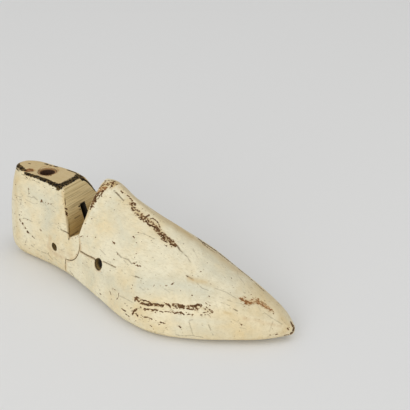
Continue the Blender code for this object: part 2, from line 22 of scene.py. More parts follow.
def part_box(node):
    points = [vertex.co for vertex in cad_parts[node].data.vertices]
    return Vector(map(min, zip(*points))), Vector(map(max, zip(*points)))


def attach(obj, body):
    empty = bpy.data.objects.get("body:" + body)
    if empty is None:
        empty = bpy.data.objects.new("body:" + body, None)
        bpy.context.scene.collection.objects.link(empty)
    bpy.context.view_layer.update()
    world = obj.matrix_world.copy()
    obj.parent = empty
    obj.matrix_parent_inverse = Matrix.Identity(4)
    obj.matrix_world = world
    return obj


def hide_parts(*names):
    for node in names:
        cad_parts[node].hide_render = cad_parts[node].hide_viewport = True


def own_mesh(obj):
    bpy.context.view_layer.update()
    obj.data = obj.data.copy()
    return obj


MM = 0.001
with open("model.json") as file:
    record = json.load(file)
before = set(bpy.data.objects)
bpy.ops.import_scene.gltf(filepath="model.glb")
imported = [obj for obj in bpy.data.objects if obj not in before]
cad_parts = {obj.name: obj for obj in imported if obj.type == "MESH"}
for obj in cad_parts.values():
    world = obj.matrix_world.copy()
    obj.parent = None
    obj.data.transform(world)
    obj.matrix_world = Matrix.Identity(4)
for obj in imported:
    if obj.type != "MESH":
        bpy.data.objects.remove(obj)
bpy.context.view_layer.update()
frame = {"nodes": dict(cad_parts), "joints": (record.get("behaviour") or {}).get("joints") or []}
nodes = frame["nodes"]
print("solids:", ", ".join(sorted(nodes)))

# %% [markdown]
# ## The camera
#
# The picture looks down at the last from its near side, a little behind its middle, with a long lens
# from under a metre away. Three numbers say where a product camera stands: how far round it is, how
# high it looks down from, and how far away it is. A matrix built from its own right, up and back
# directions is exact, and it also lets us ask later which spot of wood lies behind a point of the
# picture.

# %% Place the camera
PICTURE_SIDE = 410
SENSOR_WIDTH = 36.0
FOCAL_PIXELS = 963.4
CAMERA_ROUND = math.radians(34.288)
CAMERA_DOWN = math.radians(27.3)
CAMERA_DISTANCE = 900 * MM
LOOK_AT = Vector((-40.5, 153.9, 0)) * MM

camera_back = Vector((
    math.sin(CAMERA_ROUND) * math.cos(CAMERA_DOWN),
    -math.cos(CAMERA_ROUND) * math.cos(CAMERA_DOWN),
    math.sin(CAMERA_DOWN),
))
camera_right = Vector((math.cos(CAMERA_ROUND), math.sin(CAMERA_ROUND), 0))
camera_up = camera_back.cross(camera_right)
camera_place = LOOK_AT + CAMERA_DISTANCE * camera_back

camera = bpy.data.objects.new("camera", bpy.data.cameras.new("camera"))
bpy.context.scene.collection.objects.link(camera)
turn = Matrix((camera_right, camera_up, camera_back)).transposed().to_4x4()
camera.matrix_world = Matrix.Translation(camera_place) @ turn
camera.data.sensor_width = SENSOR_WIDTH
camera.data.lens = SENSOR_WIDTH * FOCAL_PIXELS / PICTURE_SIDE
camera.data.clip_start = 0.01
bpy.context.scene.camera = camera
bpy.context.scene.view_settings.view_transform = "Standard"
print("camera at", [round(value, 3) for value in camera_place])

# %% [markdown]
# ## The last's form
#
# A last has no flat side to start from, so its maker works from measured sections. We do the same. Each
# station gives, at one place along the last, how far the outline lies on the near and far sides, where
# the sole and the top line are, and how round the section is. Smooth curves through the stations give a
# section anywhere. These are the values of the solids, drawn many times finer.

# %% Stations of the form, in millimetres from a point near the middle of the sole
HEEL_TURN, TOE_TURN = -110.0, 131.0
PLATEAU_Z = 75.5
NOTCH_Z = 46.0

near_outline = ((-110, 21.5), (-85, 23), (-62, 27.5), (-35, 35), (-10, 43), (20, 51.6), (45, 52.6),
                (70, 44.8), (90, 34.4), (106, 23.9), (118, 15.2), (126, 7.6), (131, 1.6))
far_outline = ((-110, 22.6), (-85, 24.3), (-62, 28.5), (-35, 31), (-10, 33), (20, 35), (45, 35.8),
               (70, 32.4), (90, 27.4), (106, 22.2), (118, 17.2), (126, 12.4), (131, 8.2))
sole_line = ((-110, 0), (-85, 0.5), (-50, 3), (-20, 2.5), (20, 0), (60, 0), (90, 1.5), (118, 2.6), (131, 5))
widest_line = ((-110, 18), (-62, 15), (-10, 11), (45, 11), (90, 10), (131, 9))
top_line = ((-110, 87.5), (-62, 87.5), (-40, 85.1), (-30, 85.4), (-20, 80.5), (0, 72.4), (25, 63.9),
            (50, 54.8), (75, 42.9), (95, 34.7), (112, 26.2), (122, 20), (131, 12.6))
ridge_line = ((-110, 1.5), (-80, 0.4), (-67, -2.2), (-60, -0.4), (-40, 2.6), (0, 0), (50, -4), (100, -2),
              (131, 3))
wall_fullness = ((-110, 1.9), (-62, 1.87), (-20, 1.87), (60, 1.81), (131, 2))
ridge_round = ((-110, 2), (-80, 2), (-67, 1.6), (-40, 1.6), (-20, 1.34), (0, 1.37), (50, 1.65),
               (100, 1.81), (131, 2))
feather_edge = ((-110, 3.4), (-62, 3.8), (-10, 4.5), (100, 4), (131, 2.8))

# Each end: which way it faces, its run, how full its wall is, its roundness and its arc in degrees
HEEL_END = (-1, 27.0, 5.0, 2.25, 90)
TOE_END = (1, 2.6, 1.3, 2.0, 28)


# %% Curves through the stations
def through(stations, x):
    """The smooth curve through the stations, read at each x."""
    places, values = (np.array(column, float) for column in zip(*stations))
    slopes = np.gradient(values, places)
    x = np.clip(x, places[0], places[-1])
    i = np.clip(np.searchsorted(places, x) - 1, 0, len(places) - 2)
    run = places[i + 1] - places[i]
    t = (x - places[i]) / run
    return (values[i] * (2 * t**3 - 3 * t**2 + 1) + slopes[i] * run * (t**3 - 2 * t**2 + t)
            + values[i + 1] * (3 * t**2 - 2 * t**3) + slopes[i + 1] * run * (t**3 - t**2))


def sections_at(x):
    """Every measure of the sections at the places x, as columns that spread over the levels."""
    lines = dict(near=near_outline, far=far_outline, sole=sole_line, widest=widest_line, top=top_line,
                 ridge=ridge_line, full=wall_fullness, round=ridge_round, feather=feather_edge)
    return {name: through(line, x)[:, None] for name, line in lines.items()}


BALL = np.array([45.0])
ball = {name: value.item() for name, value in sections_at(BALL).items()}
print("the ball is", round(ball["near"] + ball["far"], 1), "mm wide and", round(ball["top"], 1), "mm high")

# %% The points of a section
SOLE_LEVELS, WALL_LEVELS = 36, 90
SOLE_WORN_FLAT = 0.4


def levels(m, half, fullness):
    """Out and up for each level: from the middle of the sole, round the feather edge, up the wall."""
    sole = np.linspace(math.pi / 2, 0, SOLE_LEVELS, endpoint=False)[None, :]
    wall = (math.pi / 2) * np.linspace(0, 1, WALL_LEVELS)[None, :] ** 0.9
    sole_out = half * np.maximum(np.cos(sole), 0) ** (2 / m["feather"])
    sole_up = m["widest"] - (m["widest"] - m["sole"] + SOLE_WORN_FLAT) * np.sin(sole) ** (2 / m["feather"])
    wall_out = half * np.maximum(np.cos(wall), 0) ** (2 / fullness)
    wall_up = m["widest"] + (m["top"] - m["widest"]) * np.sin(wall) ** (2 / m["full"])
    return np.hstack([sole_out, wall_out]), np.hstack([np.maximum(sole_up, 0), wall_up])


def middle(m, up):
    """The middle of the section leans from the outline's middle to the ridge."""
    outline = (m["far"] - m["near"]) / 2
    share = np.clip((up - m["widest"]) / (m["top"] - m["widest"]), 0, 1)
    return outline + (m["ridge"] - outline) * share


# %% The skin of the whole last, before it was sawn
SIDE_STEPS, END_STEPS = 300, 60
CROWDING = 1.4


def side(x, which):
    """One side of the last, near (-1) or far (1): a column of points at each x."""
    m = sections_at(x)
    out, up = levels(m, (m["far"] + m["near"]) / 2, m["round"])
    return np.stack([x[:, None] + 0 * up, middle(m, up) + which * out, up], axis=2)


def end(x, shape):
    """One end of the last, turned round from the near side to the far side."""
    forward, run, fullness, roundness, arc = shape
    m = sections_at(np.array([x]))
    across, up = levels(m, (m["far"] + m["near"]) / 2, m["round"])
    along, _ = levels(m, np.array([[run]]), fullness)
    turn = np.radians(np.linspace(-arc, arc, END_STEPS + 2)[1:-1])[:, None]
    least = math.cos(math.radians(arc)) if arc < 90 else 0
    ahead = (np.cos(turn) ** (2 / roundness) - least) / (1 - least)
    aside = np.sign(turn) * np.abs(np.sin(turn) / math.sin(math.radians(arc))) ** (2 / roundness)
    x_all = x + forward * along * ahead
    return np.stack([x_all, middle(m, up) + across * aside, up + 0 * x_all], axis=2)


# The columns crowd together towards the toe, where the form turns fastest
crowded = np.sin(np.linspace(0, CROWDING, SIDE_STEPS)) / math.sin(CROWDING)
along_last = HEEL_TURN + (TOE_TURN - HEEL_TURN) * crowded
columns = np.concatenate([
    side(along_last, -1), end(TOE_TURN, TOE_END), side(along_last[::-1], 1), end(HEEL_TURN, HEEL_END)[::-1],
])
form_shift = -(columns.reshape(-1, 3).min(axis=0) + columns.reshape(-1, 3).max(axis=0)) / 2
form_shift[2] = 0
columns = (columns + form_shift) * MM
count, height = columns.shape[:2]
corner = (np.arange(count)[:, None] * height + np.arange(height - 1)[None, :]).ravel()
beside = (corner + height) % (count * height)
skin_faces = np.stack([corner, beside, beside + 1, corner + 1], axis=1)
skin = BVHTree.FromPolygons(columns.reshape(-1, 3).tolist(), skin_faces.tolist())
print("skin of", len(skin_faces), "faces; the form's own origin lies at", form_shift.round(2), "mm")

# %% [markdown]
# ## Two blocks of worn wood
#
# The solids already have the V, the hinge's round knuckle, the slot and the holes, but in large facets.
# A voxel remesh wraps each solid in small even faces. Then each point near the outside moves onto the
# smooth skin, and the sawn corners are rubbed round, as years in a bag of lasts would.

# %% Remesh a block
VOXEL = 0.55 * MM


def fine_block(name, node):
    """A finely meshed copy of a CAD block, under a new name."""
    block = bpy.data.objects.new(name, nodes[node].data.copy())
    bpy.context.scene.collection.objects.link(block)
    remesh = block.modifiers.new("fine faces", "REMESH")
    remesh.mode = "VOXEL"
    remesh.voxel_size = VOXEL
    graph = bpy.context.evaluated_depsgraph_get()
    mesh = bpy.data.meshes.new_from_object(block.evaluated_get(graph))
    block.modifiers.clear()
    block.data = mesh
    mesh.name = name
    return block


def read(mesh, collection, field, width, kind=float):
    """A field of a mesh's points or edges, as an array."""
    values = np.empty(len(collection) * width, kind)
    collection.foreach_get(field, values)
    return values.reshape(-1, width) if width > 1 else values


def soften(points, edges, weight, rounds):
    """Moves each point towards the middle of its neighbours, by its weight."""
    links = np.zeros(len(points))
    np.add.at(links, edges.ravel(), 1)
    for _ in range(rounds):
        total = np.zeros_like(points)
        np.add.at(total, edges[:, 0], points[edges[:, 1]])
        np.add.at(total, edges[:, 1], points[edges[:, 0]])
        points = points + (total / links[:, None] - points) * weight[:, None]
    return points


def smooth_step(low, high, value):
    """0 below low, 1 above high, and a smooth rise between them."""
    t = np.clip((value - low) / (high - low), 0, 1)
    return t * t * (3 - 2 * t)


blocks = [fine_block("forepart_wood", "forepart"), fine_block("heel_wood", "heel_block")]
print("fine faces:", {block.name: len(block.data.polygons) for block in blocks})

# %% [markdown]
# Handling rounds a wooden corner most where hands and the bag reach it: the V's upper edges, the peak
# and the plateau's far corner. The plateau's own rim was filed and stays fairly crisp, and so do the
# hinge's seam, the V's foot and the socket's edge. For each point we also keep how deep it lies under
# the old painted skin, because that tells sawn faces from painted ones.

# %% Lay the blocks on the skin and round their corners
SNAP = 0.35 * MM
SOCKET_MIDDLE = np.array(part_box("socket_thimble")).mean(axis=0)[:2]
FAR_CORNER = np.array((-66.0, 24.0, 74.5)) * MM
SHELTERED, HANDLED, KNOCKED, SOCKET_EDGE = 0.04, 0.1, 0.25, 0.03
wood = {}
for block, node in zip(blocks, ("forepart", "heel_block")):
    mesh = block.data
    points = read(mesh, mesh.vertices, "co", 3)
    edges = read(mesh, mesh.edges, "vertices", 2, int)
    depth = np.zeros(len(points))
    for i, point in enumerate(points.tolist()):
        place, _, _, away = skin.find_nearest(point)
        if away < SNAP:
            points[i] = place
        else:
            depth[i] = away
    weight = SHELTERED + HANDLED * smooth_step(50 * MM, 56 * MM, points[:, 2])
    if node == "heel_block":
        weight -= HANDLED * smooth_step(68 * MM, 73 * MM, points[:, 2])
    weight += KNOCKED * (np.linalg.norm(points - FAR_CORNER, axis=1) < 6 * MM)
    weight[np.hypot(*(points[:, :2] - SOCKET_MIDDLE).T) < 9 * MM] = SOCKET_EDGE
    points = soften(points, edges, weight, 5)
    mesh.vertices.foreach_set("co", points.ravel())
    mesh.update()
    wood[block.name] = dict(block=block, points=points, edges=edges, depth=depth / MM,
                            normals=read(mesh, mesh.vertices, "normal", 3))
    print(block.name, len(points), "points,", int((depth > 0).sum()), "of them inside the skin")

# %% [markdown]
# ## Where wear lies
#
# Every chip on a real last is somewhere for a reason, so the marks are drawn as strokes with a
# brush. A stroke on the near side is written in points of the picture. A ray from the camera through
# such a point finds the wood behind it, so the mark then belongs to the wood and not to the picture.
# The other sides can't be seen there, so their strokes are written in millimetres and cast straight in.

# %% Find the wood behind a point
PICTURE_MIDDLE = PICTURE_SIDE / 2
# A ray that misses starts its search at about the distance of the last
LAST_DISTANCE = 780 * MM
SEARCHES = 4
# The straight rays start this far out, in metres, clear of the wood
BEYOND, BEHIND, BELOW = 0.2, -0.3, -0.1
trees = [BVHTree.FromPolygons(w["points"].tolist(), [list(p.vertices) for p in w["block"].data.polygons])
         for w in wood.values()]
print("blocks to aim at:", len(trees))


def first_hit(origin, ray):
    """Where a ray first meets either block, or None."""
    hits = [tree.ray_cast(origin, ray)[0] for tree in trees]
    hits = [hit for hit in hits if hit is not None]
    return min(hits, key=lambda hit: (hit - origin).length) if hits else None


def from_picture(x, y):
    """The spot of wood behind a point of the picture, or the nearest wood just past the outline."""
    ray = (camera_right * (x - PICTURE_MIDDLE) - camera_up * (y - PICTURE_MIDDLE)) / FOCAL_PIXELS
    ray = (ray - camera_back).normalized()
    hit = first_hit(camera_place, ray)
    reach = LAST_DISTANCE
    for _ in range(0 if hit else SEARCHES):
        near = [tree.find_nearest(camera_place + ray * reach) for tree in trees]
        hit = min(near, key=lambda found: found[3])[0]
        reach = (hit - camera_place).dot(ray)
    return hit


def from_far_side(x, z):
    """The spot of wood at x and z, seen from the far side."""
    return first_hit(Vector((x * MM, BEYOND, z * MM)), Vector((0, -1, 0)))


def from_behind(y, z):
    """The spot of wood at y and z, seen from behind the heel."""
    return first_hit(Vector((BEHIND, y * MM, z * MM)), Vector((1, 0, 0)))


def from_below(x, y):
    """The spot of wood at x and y, seen from below the sole."""
    return first_hit(Vector((x * MM, y * MM, BELOW)), Vector((0, 0, 1)))


def path(text, cast, step):
    """A stroke's corners, as text, made into closely spaced spots on the wood."""
    corners = np.array([[float(number) for number in pair.split(",")] for pair in text.split()])
    places = [corners[0]]
    for a, b in zip(corners, corners[1:]):
        pieces = max(1, math.ceil(np.hypot(*(b - a)) / step))
        places += [a + (b - a) * (i + 1) / pieces for i in range(pieces)]
    spots = [cast(*place) for place in places]
    return np.array([spot for spot in spots if spot is not None])


# %% [markdown]
# ## The marks of the near side
#
# Each stroke is a half width in millimetres, a strength, and its path, and ends in a semicolon. Strength
# 1 clears the paint along the middle of the stroke. Less leaves islands of paint, as a scuff does.
#
# - `chip`: paint knocked off, down to old dark wood
# - `rust`: paint scuffed off by rusty iron, so that what shows is more orange
# - `soot`: a sawn or filed edge, blackened by hands and polish
# - `scratch`: a fine line with dirt in it
# - `crack`: the wood itself has opened
# - `stain`: rust and oil that soaked into the paint
# - `tan`: paint rubbed thin and yellowed
# - `cool`: paint gone a cooler, greyer cream

# %% Read strokes from text
def marks_of(text):
    """Reads strokes from text. A line that ends in a colon names the kind of the strokes below it."""
    marks, kind = {}, ""
    for line in text.splitlines():
        if line.endswith(":"):
            kind = line[:-1]
        elif line and not line.startswith("#"):
            marks[kind] = marks.get(kind, "") + " " + line
    return {kind: [stroke.split(maxsplit=2) for stroke in strokes.split(";")[:-1]]
            for kind, strokes in marks.items()}


# %% Strokes seen in the picture: chips
near_chips = """
chip:
# The long scar low on the ball, in five pieces, then what is left of its ring
1.0 0.95 134.6,300.8 134.6,298 136.6,297 138.6,298.6; 1.1 0.96 136,299.2 138.4,300.6;
0.9 0.95 137,301 139.3,301.6; 0.8 0.9 140.8,300 145,300.7 149,301.6; 1.5 1.0 140.6,303.2 146,304.6 151.2,305;
0.8 0.8 149,302 151.5,304; 1.4 1.02 153.4,304.2 158,305 162.6,305.8; 0.7 0.95 164.4,302.8 168,304.6;
0.8 0.95 166.3,303.4 169.4,306.6; 0.8 1.0 168.4,304 170.8,307.4; 0.6 0.85 164.6,304.4 166.6,305.6;
1.8 1.0 173.2,304.8 178,305.6 183.2,307.6; 0.9 0.9 172.8,308 176.5,308; 0.9 0.95 181,304.4 184,305.8;
1.4 1.0 189.6,306 194,306.4 197,304.8 201,305; 1.1 0.95 187.2,308.4 191,309 197,309.6;
0.7 0.8 186.4,306.4 188.6,306.4; 2.4 0.46 140,303 151,304; 2.2 0.4 154,305 162,306; 2.6 0.5 174,306.5 183,307;
2.6 0.5 189,307 200,307;
# Diagonal scratches past its end
0.5 0.92 206.4,307.2 212.8,313.1; 0.4 0.9 208,307.4 213.2,311.8; 0.5 0.8 205,308.6 210,313.4;
0.5 0.95 203,312.8 207,312.3; 0.5 0.9 204.4,314.9 208.4,314.6 210.7,316.9; 0.5 0.8 205.2,302.5 210.4,305.7;
0.5 0.7 207,301.6 211,303; 2.6 0.34 204,306 210,313;
# Two broken rows below it
0.7 1.0 140.2,307.2 140.8,307.8; 0.9 1.0 144.2,308.9 148.4,309.6; 0.8 0.95 150.6,309.8 154,310 157.8,310.2;
0.7 0.9 155.3,312.2 157.2,311; 0.7 0.9 159.4,311.2 162.6,312.2; 0.6 0.95 167,311.4 172,312.3 177,313.2;
0.8 1.0 177.6,312.8 181,312.2 183.8,314.6; 0.7 0.95 188,314.2 192.2,315.1; 0.6 0.9 200.6,315 202,315;
1.7 0.5 144,309.5 157,310.5 170,312 184,313.5 192,314.5; 1.3 1.0 132.4,314 133.2,311.4 136.2,309.5;
0.9 1.0 136.2,314 137.8,316.2; 0.6 1.0 141.2,315 142.6,316.6; 0.7 1.0 144,317 147.6,317.3 151.8,319.2;
0.8 1.0 160,322.3 165,323.4; 0.6 0.8 158.6,324.6 160.6,324.4; 0.7 0.95 150,325.8 151.4,326.8;
0.9 1.12 178.6,326.2 180.6,327.6; 0.9 1.0 121.5,308.9 125.1,311.3; 0.8 1.0 125.3,314 128.6,316.6;
0.5 0.8 134,320 136,321; 2.4 0.38 131,309 137,316 146,319 160,323;
# Short nicks behind it
0.5 0.95 109.9,287.7 113,289.2 115.6,290.2; 0.6 1.0 109.4,290.9 110.6,294.4; 0.6 1.05 118.5,293.4 118.4,297;
0.5 0.9 118.2,297 116.2,299.5; 0.8 1.0 99.3,293.6 100.7,294.8; 0.7 0.9 124.3,303 124.8,303.6;
0.7 0.95 69.5,271 73.5,276; 0.6 0.9 75,277 76.5,279; 0.6 0.8 82,272.5 83,273.5; 0.8 1.0 136.8,265 138,266.2;
0.7 0.9 139.4,265.8 140.8,266.4; 0.6 0.85 132.6,262.6 134.4,264 136.2,262.4; 0.9 1.05 171.7,284.4 173.6,282.6;
0.7 0.95 192,294.9 192.3,295.5; 0.6 0.9 209,295.8 209.4,296.4; 0.6 0.9 186,275.5 188.2,276.6;
0.7 0.95 133,236.4 134.4,238; 0.9 1.0 112.2,241.7 114.5,243.5; 0.6 0.8 152.5,257 153.5,258;
# The knocked ridge
1.0 1.12 121.2,191.2 122.7,192.6; 0.8 0.95 127.5,194.8 129.5,196.8; 0.8 1.0 129.7,197.9 133,200.6;
0.8 1.0 131.8,203 134.6,202.2 136.3,205.3; 0.8 1.05 132.2,205.3 135.3,208.7; 0.9 1.12 131.7,207.6 133.4,210.4;
0.6 0.9 138.9,210.8 142.7,208.6; 0.5 0.85 139,211.6 141,210.6; 0.6 0.95 137,215 142.6,216;
0.8 1.0 140.8,216.6 144.1,221.8; 0.7 0.9 139,217.6 142,221; 1.1 1.12 149.2,214.8 146,216.6 144.2,218.6;
0.6 0.9 146,214.6 149.4,216.6; 0.7 1.0 148.7,221 150,218.5 153,217.8 157,221 159.4,225 160.2,228.6;
1.3 0.98 146,220.8 148,223.5 150.2,225.4; 0.9 0.95 151,225 154,227 158,229.4; 0.8 0.95 154,229 158.4,231.6;
0.7 0.9 156,225.4 159.6,230; 1.0 0.95 159,234 162,237 166,241.4; 1.4 0.97 162.8,233 166,236 171,239.6;
0.8 0.92 164,236.6 167,240; 0.7 0.92 159.6,237.6 163,240 167,242.2; 1.0 1.05 171.2,240.4 174,242.2;
1.2 1.1 171,243 173.6,244.4 175.2,246.2; 0.7 0.9 166,245.2 166.6,245.8;
3.4 0.58 132,203 134,209 141,216 149,221 157,228; 3.6 0.66 158,230 163,236 170,240 174,245;
1.6 0.98 154.4,226.4 157.4,228.4 160.4,230; 1.5 0.92 160.8,233.6 163.6,237 166.3,240;
1.3 0.9 141,217.4 143.4,220; 1.2 0.88 147.6,219.6 150.6,222.6; 3.0 0.3 122,190 130,198 134,204;
# The peak and the forepart's edge on the V
1.0 1.12 97.5,193.4 100,191.4 103.6,190.4; 1.0 1.05 99,196 101.6,193.4; 0.8 0.95 101,194 101.6,196;
1.3 1.05 94,201.2 95,198 96.6,196; 1.1 1.02 92,205.6 93.4,202; 0.9 0.9 90,209 90.8,207.4;
0.9 1.12 111.2,186.2 112.2,184 113.4,181.8; 0.8 1.0 109.6,188 112.4,186.2; 0.7 0.9 106.4,184 108,185.2;
1.0 1.05 114.4,181.2 115.8,182.2; 0.9 1.0 115.8,184.6 117.4,184; 0.7 1.0 96,191 101,186.2 104.6,182;
0.9 0.9 104.8,181 109,179.8 114,180.4; 1.6 0.9 97.4,190.6 95.2,195 93.2,199.6 91.2,204.4;
0.9 1.1 94.6,197.4 93.6,200.6; 0.8 1.1 91.6,203.8 90.2,206.8; 2.6 0.6 93,206 96,199 99,194 105,189;
2.8 0.55 104,184 109,183 114,183;
# The heel's edge on the V, and a dent by the V's foot
0.7 1.0 65.4,199.5 65.6,205; 0.9 1.12 65.2,208 67.3,209.5; 0.8 1.05 65.4,211.4 67.8,213.6;
0.9 1.05 66.2,214 67.8,216; 0.5 0.8 63.5,190.5 64.2,192; 0.5 0.9 75.5,238 79,237.4;
0.6 0.95 80,236.8 81.8,236; 0.5 0.9 77,237 78.6,235.6;
# A row of pits and single pits on the heel
1.1 1.0 19.4,219.8 20.6,221.4; 1.3 1.2 22.4,223.4 22.8,223.8; 1.1 1.15 25.3,228 25.7,228.6;
1.5 1.2 27.2,231.8 27.8,232.4; 1.0 1.1 32,236.4 32.6,236.8; 1.8 0.3 21,222 30,234; 0.5 0.85 24,235.5 27,239.5;
0.5 0.85 26.5,240 25,243.3; 1.0 1.12 41.2,200.2 41.7,201.8; 0.9 1.05 40,230 40.8,230.6;
0.7 1.0 23.2,206.2 24,206.6; 0.7 0.95 14.4,213.6 14.8,214; 0.7 0.9 19,200 19.4,200.6;
0.6 0.9 18.7,214.5 19,215; 0.7 0.9 28.3,188.6 28.7,189.4; 0.7 0.9 29,193.5 29.2,194.5;
0.6 0.85 33.6,237.8 34.4,238.4; 1.1 1.05 28.8,163.2 30,163.6; 1.0 1.0 22,166.2 22.6,166.6;
2.2 0.36 20,196 22,206 20,214;
# The toe's tip and the far outline
2.0 1.05 292.8,324 294.4,328 293.4,331.6 291.4,333.8; 1.6 0.95 291.6,322.4 293,325.6;
0.9 1.0 287.5,328.3 288.7,329.6; 1.0 1.0 284.8,335.4 289,334.8 291.6,333.8; 0.8 0.95 275.6,334.8 278,334.2;
0.7 0.85 270,335 270.6,335; 2.0 1.0 198,237.8 201.5,241 205,243.8; 0.9 0.85 203,243.8 209,248.4 214,252;
2.6 1.08 205,243 210.4,246.8 217,251.2; 2.4 1.06 218,252 223.8,256.7 228,259.9;
2.2 1.0 229,260.6 235.2,265.6 239,268.6; 2.3 1.06 240.4,270 243,272.2; 1.9 0.98 244.6,273.4 249,277;
1.4 0.8 250,278 258,285 265,291.4; 0.8 0.9 268,291.4 271,293.6; 2.6 0.42 199,240 214,251 230,262 245,274;
"""

# %% Strokes seen in the picture: rust, soot and cracks
near_rust_and_soot = """
rust:
# Rusty iron was dragged across the toe: many fine lines, side by side
0.6 0.95 239.2,297.9 243.2,300.6 246.6,302.6; 1.1 0.92 243.6,300.8 247,302 250.4,303.6;
0.9 0.9 245.6,303 248.2,304.2; 0.5 0.8 242.4,302 246,304.4 249.6,306; 0.5 0.85 244.4,299.6 249,302;
0.5 0.7 241.2,303.3 245.9,306; 0.45 0.66 244,306.4 249.3,308.3; 0.5 0.75 241.9,295.2 245.9,297.2;
0.8 0.92 253.3,301.3 258,303.3 262.6,304.9 266,307.3; 0.6 0.8 251.4,302.6 255.4,303.6;
0.5 0.85 255.3,297.2 259.3,299.9 262,302.6; 0.5 0.8 258,297.9 263.3,301.9 267,304.9;
0.5 0.8 253.4,299.6 257.6,301.4 261,303.4; 0.5 0.75 252.6,297.6 256,299.2;
0.9 0.9 258.6,303 262,304.6 265,306.6; 0.5 0.8 262,303 266,306 269,308; 0.8 0.95 268,307.8 272,310;
0.5 0.85 271,309.2 274,312; 3.2 0.5 242,299 249,303 256,301 264,305 271,310;
1.4 0.8 241,298.4 246,301 250,302.6; 1.2 0.76 257,299 261,302 266,305.6;
# On the peak and on the plateau
1.2 0.98 102.5,187.6 105,188.6 107.2,187; 1.1 0.9 97.6,191.6 102,189.2; 2.2 0.5 99,190 106,187;
1.7 1.2 25.6,171 27,169.6 29.4,168.8 32,169.2; 1.4 1.15 27,171.4 30,171.2 32.8,170.8;
2.6 0.95 27.4,170.4 31.6,170; 1.2 0.95 38.8,171.2 39.8,173; 0.9 0.85 42.6,175 47,175.9 51.4,175.5;
0.8 0.8 57.4,168.6 58.4,170.6;
soot:
3.0 1.15 18.4,165.4 21,167.6 23.6,169.8; 1.0 1.0 19.4,163.6 19.8,165; 2.3 1.05 25.3,172.7 28,174 30.9,175.2;
2.5 0.98 30.9,175 36.5,176.4 40.6,178; 2.8 1.04 40.6,178 47.7,180.6 51,182.2; 3.2 1.08 50,182 55.6,184.4;
0.5 0.85 21.2,173.9 24.8,175.5 27.3,178.3; 0.45 0.8 27.3,178.3 33.4,180.4 39.6,183.2;
4.4 1.14 58.4,186.6 63,184.4 69.7,181.4; 4.2 1.08 69.7,181.4 75.8,177.8 79.8,176.4;
3.0 1.25 77.2,175.4 79.6,176.6 82,178; 1.4 1.15 82,178 84.4,179.8; 0.9 1.0 67.1,169.7 71,171 75.8,172.9;
1.0 1.2 79,206.4 80.4,206; 0.6 1.1 79.4,209.8 80.8,209.2; 0.9 1.0 75.8,173 79,175.4;
1.1 1.15 83.5,178.8 88.5,182.7 92.4,187 96,191; 1.1 0.95 45,163.8 48,164.5; 0.9 0.9 49.6,165 51.6,165.5;
1.1 0.95 54,166 58,167; 1.4 0.62 60,188.6 68,184.6 76,179.6;
crack:
0.7 0.85 79.9,251.2 86.4,255.3 93,258.2 95.4,260.4; 0.5 0.66 102.6,261.2 108,263.8 115,267.3;
"""

